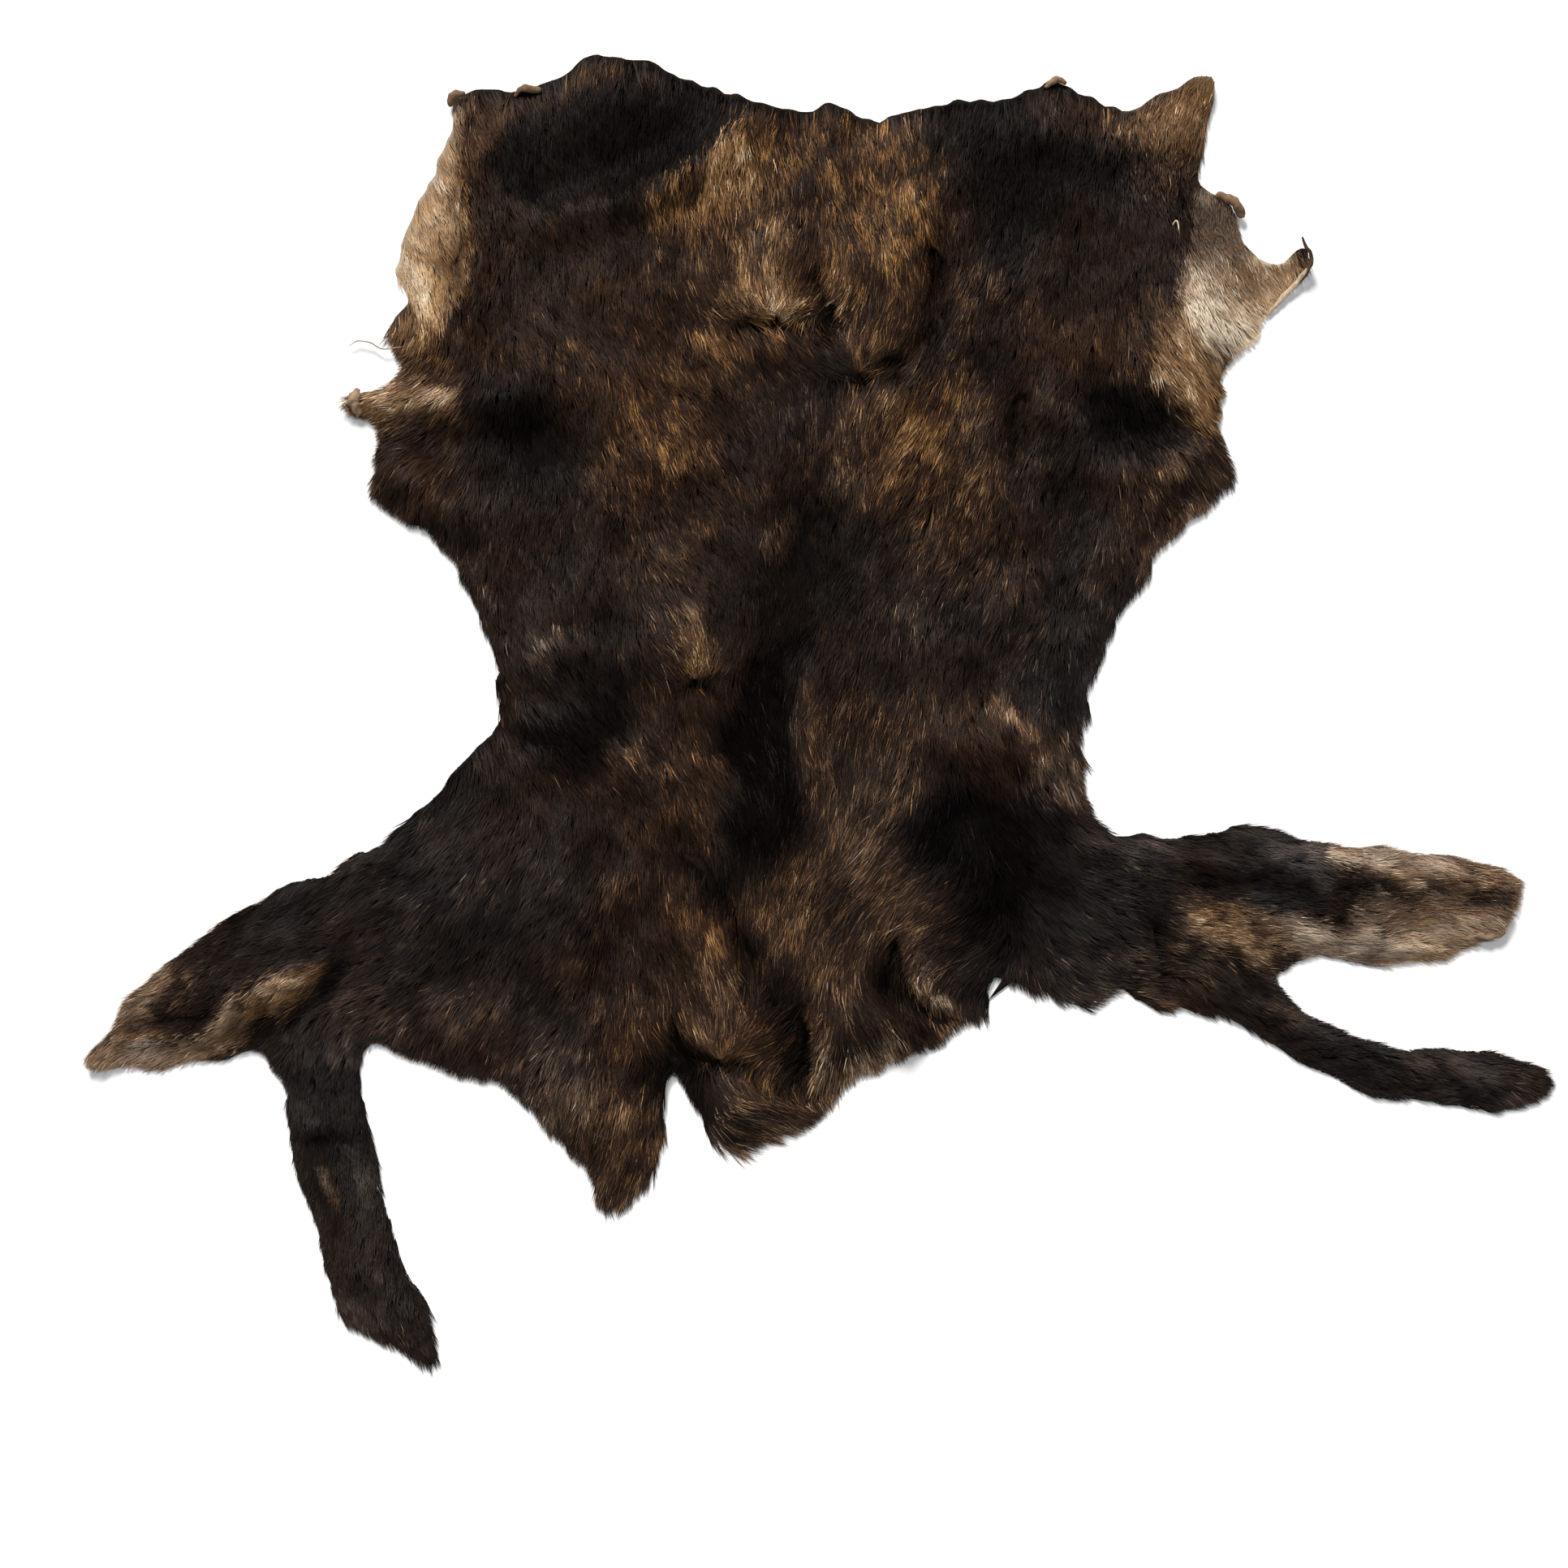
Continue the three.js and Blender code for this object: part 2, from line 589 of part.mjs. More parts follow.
// The closed surface: hair side, underside, and a wall round the rim and its locks
function hideGeometry() {
  const chance = seededChance(SEED);
  const rim = evenSteps(traceRim(), RIM_STEP);
  const inner = pointsInside(TOP_STEP, chance);
  const lifted = inner.filter((point) => liftAt(point.x, point.y) > 0);
  const level = pointsInside(UNDERSIDE_STEP, chance);
  const clear = level.filter((point) => lifted.every((other) => other.distanceTo(point) > 2 * TOP_STEP));
  const top = fillRim(rim, inner);
  const underside = fillRim(rim, [...lifted, ...clear]);
  const tips = lockTips(rim, chance);

  const places = [];
  const faces = [];
  const add = (point, height) => places.push(point.x, point.y, height) / 3 - 1;
  const topOf = top.points.map((p) => add(p, liftAt(p.x, p.y) + thicknessAt(p.x, p.y)));
  const underOf = underside.points.map((p) => add(p, liftAt(p.x, p.y)));
  for (const [a, b, c] of top.triangles) faces.push(topOf[a], topOf[b], topOf[c]);
  for (const [a, b, c] of underside.triangles) faces.push(underOf[a], underOf[c], underOf[b]);

  const edge = rim.flatMap((point, index) => {
    const corner = { top: topOf[index], under: underOf[index] };
    if (!tips.has(index)) return [corner];
    const tip = tips.get(index);
    const lift = liftAt(tip.x, tip.y);
    const end = { top: add(tip, lift + LOCK_THICKNESS), under: add(tip, lift) };
    const next = index + 1;
    faces.push(topOf[index], end.top, topOf[next], underOf[index], underOf[next], end.under);
    return [corner, end];
  });
  edge.forEach((from, index) => {
    const to = edge[(index + 1) % edge.length];
    faces.push(from.under, to.under, to.top, from.under, to.top, from.top);
  });

  const geometry = new THREE.BufferGeometry();
  geometry.setAttribute('position', new THREE.Float32BufferAttribute(places, 3));
  geometry.setIndex(faces);
  geometry.computeBoundingBox();
  const middle = geometry.boundingBox.getCenter(new THREE.Vector3());
  geometry.translate(-middle.x, -middle.y, -geometry.boundingBox.min.z);
  geometry.computeVertexNormals();
  return geometry;
}

const hair = new THREE.MeshStandardMaterial({ color: 0x2b1d15, roughness: 0.82, metalness: 0 });
const hide = new THREE.Mesh(hideGeometry(), hair);
hide.name = 'hide';

const mooseHide = new THREE.Group();
mooseHide.name = 'moose_hide';
mooseHide.add(hide);

export default mooseHide;
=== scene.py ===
"""Looks of a moose hide laid out on a floor, hair side up: a tanned skin and the coat that grows on it.

Metres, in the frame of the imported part: +X across the hide, +Y towards the neck, +Z up from the floor.
"""

import math

import bmesh
import bpy
import numpy as np
from bpy.props import FloatProperty, FloatVectorProperty, PointerProperty
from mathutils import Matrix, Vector
from mathutils.bvhtree import BVHTree


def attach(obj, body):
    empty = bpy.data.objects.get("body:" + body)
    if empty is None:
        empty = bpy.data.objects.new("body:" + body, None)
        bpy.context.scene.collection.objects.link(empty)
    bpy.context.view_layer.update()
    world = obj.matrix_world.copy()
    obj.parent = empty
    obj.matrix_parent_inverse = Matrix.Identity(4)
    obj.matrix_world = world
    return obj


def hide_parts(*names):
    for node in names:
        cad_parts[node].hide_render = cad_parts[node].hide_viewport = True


bl_info = {
    "name": "Moose hide",
    "version": (1, 0, 0),
    "blender": (4, 5, 0),
    "location": "View3D > Sidebar > Hide",
    "description": "Dresses the solid of a moose hide with its skin and its coat of hair",
    "category": "Object",
}

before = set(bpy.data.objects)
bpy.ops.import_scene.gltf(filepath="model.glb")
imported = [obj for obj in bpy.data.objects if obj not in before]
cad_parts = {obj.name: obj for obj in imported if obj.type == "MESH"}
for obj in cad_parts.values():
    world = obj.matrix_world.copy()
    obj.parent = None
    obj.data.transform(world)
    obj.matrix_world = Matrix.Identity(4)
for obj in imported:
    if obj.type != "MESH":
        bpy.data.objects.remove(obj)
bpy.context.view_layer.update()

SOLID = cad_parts["hide"]
BODY = "root"
SEED = 11  # each seeded draw adds its own number to this

GRID_STEP = 0.006
GRID_MARGIN = 0.120
RAY_START = 0.2  # height over the floor from which the solid is felt for
SKIN_INSET = 0.003  # how far inside the coat's rim the skin ends
LOCK_HALF_WIDTH = 0.012  # what is narrower than this in the solid's outline is a lock of hair and not skin
TALLEST = 0.052  # the coat's greatest height, without the tips that stand out of it
LOWEST = 0.0006  # no hair or rolled edge goes nearer to the floor
FOLD_STRENGTH = 1.3  # how many times each rise in FOLDS is taken
GROOVE_REACH = 0.027  # a fold that sinks and reaches no farther than this is a narrow groove
GROOVE_EDGE = -0.005  # hair that grows higher than this stops at a groove
GROOVE_FLOOR = -0.010  # and it stops where the groove is deeper than this
HAIR_MAP = "OFBake"  # the map that the hairs' colours are laid out on: tint across, root to tip upwards
TONES = 32
WARMTHS = 8
WAVE_CELLS = 256  # side of the seeded table behind soft unevenness
TUFT_CELLS = 512  # side of the seeded tables behind the tufts
TUFT_TURN, TUFT_LIFT, TUFT_TONE = 1, 2, 3  # rows of the tufts' table; row 0 is their length
CLUMP_SPACING = 0.012  # distance between two clumps of long hair
ROD_SIDES = 8
ROD_STEPS = 12  # places along a rolled edge for each stretch between two of its points
KEY_SIDE, KEY_COLOUR = (-0.24, 0.80, 0.50), (1.0, 0.97, 0.93)
FILL_SIDE, FILL_COLOUR, FILL_SOFTNESS = (0.45, -0.50, 0.75), (0.90, 0.95, 1.0), 1.2
LIGHT_DISTANCE = 6

# Which way the hair is combed: place, reach, and heading in degrees, 0 along +X and 90 towards the neck
COMB = (
    ("neck, left", -0.45, 1.05, 0.22, -88),
    ("neck, middle", 0.00, 1.05, 0.20, -90),
    ("neck, right", 0.45, 1.05, 0.22, -92),
    ("ear corner", 0.66, 1.10, 0.10, -125),
    ("right flap", 0.76, 0.82, 0.12, -60),
    ("right tuft", 0.70, 0.60, 0.10, -40),
    ("right shoulder", 0.45, 0.70, 0.20, -98),
    ("right elbow", 0.62, 0.42, 0.14, -70),
    ("left strip", -0.72, 0.90, 0.10, -76),
    ("left shoulder", -0.50, 0.75, 0.20, -80),
    ("left tab", -0.74, 0.57, 0.10, 190),
    ("left elbow", -0.70, 0.42, 0.14, -110),
    ("withers, left", -0.25, 0.55, 0.16, -66),
    ("withers, right", 0.25, 0.55, 0.16, -116),
    ("spine, front", -0.03, 0.45, 0.10, -90),
    ("back, left", -0.40, 0.20, 0.20, -72),
    ("back, right", 0.35, 0.20, 0.20, -106),
    ("spine, middle", -0.05, 0.15, 0.10, -96),
    ("loin, left", -0.40, -0.10, 0.16, -62),
    ("loin, left of spine", -0.22, -0.12, 0.10, -68),
    ("loin, right of spine", 0.04, -0.08, 0.12, -96),
    ("loin, right", 0.35, -0.05, 0.14, -75),
    ("rump, right of spine", 0.12, -0.26, 0.12, -122),
    ("rump, right", 0.24, -0.36, 0.09, 196),
    ("rump, middle", -0.04, -0.38, 0.10, -96),
    ("rump, left of groove", -0.22, -0.42, 0.10, -64),
    ("tail, right", -0.06, -0.60, 0.08, -132),
    ("tail, lower lobe", -0.10, -0.74, 0.07, -18),
    ("right lobes", 0.12, -0.58, 0.09, -58),
    ("left lobe", -0.36, -0.74, 0.11, -98),
    ("left haunch", -0.55, -0.35, 0.20, -118),
    ("left thigh", -0.80, -0.38, 0.15, 212),
    ("left shank", -1.10, -0.52, 0.14, 205),
    ("left heel", -0.92, -0.66, 0.08, -98),
    ("left foot", -0.86, -0.90, 0.14, -82),
    ("left toes", -0.76, -1.12, 0.10, -68),
    ("right haunch", 0.42, -0.25, 0.14, -50),
    ("right thigh", 0.62, -0.32, 0.14, -12),
    ("right shank", 1.00, -0.35, 0.20, -2),
    ("right heel", 0.78, -0.50, 0.09, -42),
    ("right foot", 1.05, -0.64, 0.18, -14),
)

# Places that the hair around them runs together to: place, reach and strength
WHORLS = (
    ("withers whorl", -0.079, 0.732, 0.100, 2.6),
    ("second whorl", 0.073, 0.630, 0.075, 2.4),
    ("loin whorl", -0.228, 0.068, 0.055, 1.8),
    ("tail whorl", -0.187, -0.630, 0.090, 1.6),
)

# How long the hair is: place, reach and length
HAIR_LENGTHS = (
    ("withers whorl", -0.08, 0.80, 0.12, 0.066),
    ("second whorl", 0.09, 0.68, 0.10, 0.062),
    ("loin whorl", -0.25, 0.12, 0.07, 0.056),
    ("loin", 0.00, -0.05, 0.16, 0.062),
    ("rump", 0.02, -0.34, 0.22, 0.070),
    ("tail", -0.15, -0.62, 0.16, 0.068),
    ("left lobe", -0.36, -0.74, 0.12, 0.056),
    ("left strip", -0.73, 0.92, 0.12, 0.020),
    ("right flap", 0.77, 0.82, 0.12, 0.026),
    ("ear corner", 0.68, 1.11, 0.10, 0.024),
    ("left tab", -0.80, 0.57, 0.10, 0.028),
    ("left thigh", -0.88, -0.40, 0.12, 0.026),
    ("left shank", -1.16, -0.56, 0.18, 0.013),
    ("left foot", -0.87, -0.85, 0.20, 0.017),
    ("left toes", -0.76, -1.14, 0.10, 0.024),
    ("right thigh", 0.66, -0.35, 0.12, 0.026),
    ("right shank", 1.06, -0.35, 0.22, 0.013),
    ("right foot", 1.05, -0.64, 0.24, 0.017),
)

# Where long pale hairs stand out of the coat: place, reach, how thick they grow and how much paler they are
LONG_HAIR = (
    ("withers whorl", -0.080, 0.815, 0.050, 0.62, 0.52),
    ("withers whorl, left arm", -0.138, 0.802, 0.036, 0.62, 0.50),
    ("withers whorl, right arm", -0.030, 0.806, 0.036, 0.62, 0.50),
    ("second whorl", 0.075, 0.715, 0.060, 0.52, 0.42),
    ("second whorl, top", 0.060, 0.792, 0.036, 0.55, 0.44),
    ("second whorl, right", 0.165, 0.700, 0.050, 0.45, 0.34),
    ("tan lock", -0.180, 0.715, 0.032, 0.50, 0.42),
    ("fan", -0.020, 0.980, 0.220, 0.20, 0.20),
    ("loin whorl", -0.236, 0.145, 0.036, 0.60, 0.44),
    ("right of the spine", 0.025, -0.030, 0.110, 0.42, 0.22),
    ("left of the spine", -0.220, -0.120, 0.080, 0.40, 0.20),
    ("rump", 0.060, -0.270, 0.160, 0.34, 0.21),
    ("rump, foot", -0.010, -0.400, 0.110, 0.40, 0.22),
    ("tail head", -0.200, -0.480, 0.090, 0.50, 0.24),
    ("tail", -0.110, -0.620, 0.100, 0.40, 0.20),
    ("left lobe", -0.330, -0.740, 0.080, 0.36, 0.20),
    ("right lobes", 0.110, -0.560, 0.110, 0.34, 0.20),
)

# Folds of the coat: both ends of a line, its reach to the left and right of the way along it, and its rise
FOLDS = (
    ("fan lip", -0.140, 1.090, -0.320, 0.965, 0.045, 0.014, 0.010),
    ("fan lip, foot", -0.320, 0.965, -0.470, 0.920, 0.035, 0.012, 0.008),
    ("under the withers whorl", -0.140, 0.722, -0.030, 0.722, 0.012, 0.016, -0.011),
    ("withers whorl", -0.085, 0.830, -0.079, 0.750, 0.050, 0.050, 0.010),
    ("second whorl", 0.110, 0.730, 0.080, 0.650, 0.045, 0.045, 0.011),
    ("under the second whorl", 0.060, 0.612, 0.150, 0.640, 0.012, 0.016, -0.011),
    ("right of the second whorl", 0.150, 0.640, 0.212, 0.690, 0.012, 0.018, -0.011),
    ("upright hollow right of it", 0.211, 0.690, 0.211, 0.838, 0.018, 0.022, -0.013),
    ("hollow between the whorls", 0.010, 0.690, 0.014, 0.800, 0.016, 0.020, -0.012),
    ("shoulder crease", 0.371, 0.575, 0.371, 0.485, 0.010, 0.022, -0.012),
    ("hollow by the right tuft", 0.520, 0.600, 0.600, 0.520, 0.050, 0.040, -0.014),
    ("right tuft", 0.630, 0.640, 0.740, 0.530, 0.040, 0.030, 0.011),
    ("right elbow fold", 0.560, 0.440, 0.720, 0.480, 0.035, 0.020, 0.010),
    ("right elbow hollow", 0.470, 0.410, 0.600, 0.350, 0.035, 0.035, -0.008),
    ("hollow by the left tab", -0.600, 0.560, -0.500, 0.520, 0.045, 0.045, -0.014),
    ("left tab roll", -0.840, 0.585, -0.560, 0.595, 0.022, 0.030, 0.012),
    ("left elbow ridge", -0.794, 0.440, -0.674, 0.365, 0.040, 0.030, 0.012),
    ("left elbow hollow", -0.700, 0.480, -0.600, 0.430, 0.030, 0.030, -0.009),
    ("left strip crease", -0.665, 1.120, -0.668, 0.720, 0.010, 0.012, -0.008),
    ("left strip ridge", -0.640, 1.120, -0.640, 0.720, 0.022, 0.022, 0.008),
    ("spine trough", -0.010, 0.365, -0.075, 0.150, 0.060, 0.060, -0.009),
    ("spine trough, foot", -0.100, 0.060, -0.125, -0.120, 0.035, 0.040, -0.014),
    ("right of the trough", -0.040, 0.040, -0.045, -0.120, 0.030, 0.035, 0.008),
    ("loin whorl", -0.240, 0.165, -0.230, 0.090, 0.028, 0.028, 0.010),
    ("under the loin whorl", -0.262, 0.060, -0.200, 0.058, 0.018, 0.026, -0.008),
    ("left loin hollow", -0.520, 0.030, -0.360, 0.020, 0.045, 0.040, -0.012),
    ("left loin fold", -0.530, 0.110, -0.380, 0.120, 0.030, 0.030, 0.007),
    ("haunch lip", 0.480, -0.085, 0.380, -0.060, 0.026, 0.045, 0.009),
    ("haunch hollow", 0.250, -0.190, 0.420, -0.220, 0.055, 0.055, -0.014),
    ("haunch hollow, foot", 0.360, -0.280, 0.440, -0.320, 0.045, 0.045, -0.011),
    ("right spot fold", 0.330, 0.050, 0.360, -0.030, 0.030, 0.020, 0.008),
    ("rump groove, top", -0.262, -0.190, -0.226, -0.262, 0.024, 0.030, -0.006),
    ("rump groove", -0.226, -0.262, -0.116, -0.480, 0.020, 0.026, -0.014),
    ("rump groove, foot", -0.116, -0.480, -0.040, -0.610, 0.020, 0.022, -0.014),
    ("tail slit", -0.036, -0.560, -0.036, -0.690, 0.014, 0.014, -0.016),
    ("right of the tail slit", 0.000, -0.560, 0.000, -0.660, 0.022, 0.022, 0.008),
    ("notch groove", -0.266, -0.580, -0.258, -0.700, 0.018, 0.018, -0.015),
    ("tail bulge", -0.200, -0.480, -0.170, -0.590, 0.050, 0.045, 0.010),
    ("under the tail bulge", -0.240, -0.635, -0.120, -0.640, 0.014, 0.018, -0.009),
    ("lower tail lobe", -0.160, -0.720, -0.040, -0.730, 0.030, 0.030, 0.008),
    ("right lobe crease", 0.124, -0.494, 0.259, -0.569, 0.014, 0.024, -0.018),
    ("right lobe lip", 0.060, -0.555, 0.170, -0.575, 0.014, 0.035, 0.012),
    ("inner lobe hollow", 0.130, -0.430, 0.140, -0.520, 0.025, 0.025, -0.014),
    ("pale lobe", 0.190, -0.470, 0.230, -0.530, 0.034, 0.026, 0.013),
    ("left haunch dimple", -0.340, -0.360, -0.400, -0.480, 0.035, 0.035, -0.010),
    ("left haunch fold", -0.560, -0.240, -0.420, -0.330, 0.050, 0.050, 0.006),
    ("left haunch trough", -0.640, -0.420, -0.480, -0.520, 0.040, 0.045, -0.007),
    ("left thigh trough", -0.900, -0.330, -0.760, -0.300, 0.035, 0.035, -0.006),
    ("left tan fold", -1.060, -0.500, -0.920, -0.470, 0.030, 0.018, 0.009),
    ("under the tan fold", -0.960, -0.560, -0.880, -0.480, 0.018, 0.018, -0.010),
    ("left shank lip", -1.300, -0.604, -1.139, -0.597, 0.010, 0.014, 0.009),
    ("left shank lip, foot", -1.139, -0.597, -1.078, -0.520, 0.010, 0.014, 0.009),
    ("left shank trough", -1.270, -0.575, -1.130, -0.565, 0.012, 0.010, -0.008),
    ("left thigh fold", -1.040, -0.400, -0.900, -0.420, 0.022, 0.026, 0.008),
    ("left heel trough", -0.860, -0.470, -0.930, -0.600, 0.020, 0.022, -0.008),
    ("left foot ridge", -0.860, -0.620, -0.840, -0.730, 0.026, 0.026, 0.008),
    ("left foot ridge, foot", -0.850, -0.780, -0.800, -1.040, 0.026, 0.026, 0.009),
    ("left foot, outer strip", -0.965, -0.780, -0.930, -0.900, 0.018, 0.018, 0.006),
    ("left foot cuff", -0.985, -0.735, -0.850, -0.742, 0.012, 0.030, 0.012),
    ("left foot slit", -0.918, -0.790, -0.905, -0.945, 0.010, 0.012, -0.014),
    ("right thigh ridge", 0.530, -0.235, 0.700, -0.245, 0.020, 0.035, 0.009),
    ("right shank bulge", 0.800, -0.230, 0.920, -0.260, 0.040, 0.045, 0.010),
    ("right shank hollow", 0.720, -0.300, 0.900, -0.330, 0.020, 0.025, -0.007),
    ("right knee crease", 0.626, -0.404, 0.649, -0.524, 0.014, 0.020, -0.009),
    ("right heel crease", 0.735, -0.430, 0.830, -0.510, 0.012, 0.016, -0.011),
    ("right knee bulge", 0.690, -0.400, 0.730, -0.440, 0.030, 0.030, 0.008),
    ("right foot ridge", 0.850, -0.525, 1.020, -0.605, 0.022, 0.030, 0.010),
    ("right foot ridge, end", 1.020, -0.605, 1.240, -0.670, 0.022, 0.030, 0.009),
    ("right ankle hollow", 0.960, -0.600, 1.060, -0.650, 0.014, 0.016, -0.006),
    ("right toes crease", 1.120, -0.625, 1.150, -0.680, 0.012, 0.014, -0.006),
    ("right shank fold", 0.960, -0.270, 1.200, -0.300, 0.016, 0.020, 0.008),
    ("right shank trough", 1.000, -0.320, 1.220, -0.345, 0.016, 0.018, -0.007),
    ("right shank, lower fold", 0.900, -0.400, 1.120, -0.420, 0.020, 0.026, 0.007),
)

# Where the hair reaches far over the rim: place, reach along the rim and how far over it
PLAIN_FRINGE = 0.007
FRINGES = (
    ("left thigh", -0.66, -0.10, 0.10, 0.010),
    ("left lobe", -0.46, -0.80, 0.16, 0.022),
    ("left lobe tip", -0.36, -0.90, 0.08, 0.020),
    ("tail", -0.17, -0.82, 0.08, 0.060),
    ("right of the tail", 0.02, -0.72, 0.14, 0.026),
    ("right lobes", 0.28, -0.58, 0.14, 0.026),
    ("right thigh", 0.56, -0.53, 0.16, 0.024),
    ("left belly", -0.60, -0.68, 0.16, 0.016),
    ("left toes", -0.72, -1.18, 0.12, 0.022),
    ("left foot, outer edge", -0.92, -1.05, 0.10, 0.014),
    ("right toes", 1.33, -0.69, 0.08, 0.016),
    ("right foot tuft", 1.15, -0.615, 0.05, 0.018),
    ("right elbow", 0.74, 0.45, 0.08, 0.014),
    ("left elbow", -0.80, 0.42, 0.10, 0.008),
)

# Where the rim runs even, without locks: place and reach
EVEN_RIMS = (
    ("left foot", -0.87, -0.90, 0.22),
    ("left toes", -0.80, -1.08, 0.12),
    ("right foot", 0.98, -0.62, 0.22),
    ("right toes", 1.22, -0.67, 0.14),
    ("right shank", 0.98, -0.36, 0.14),
)

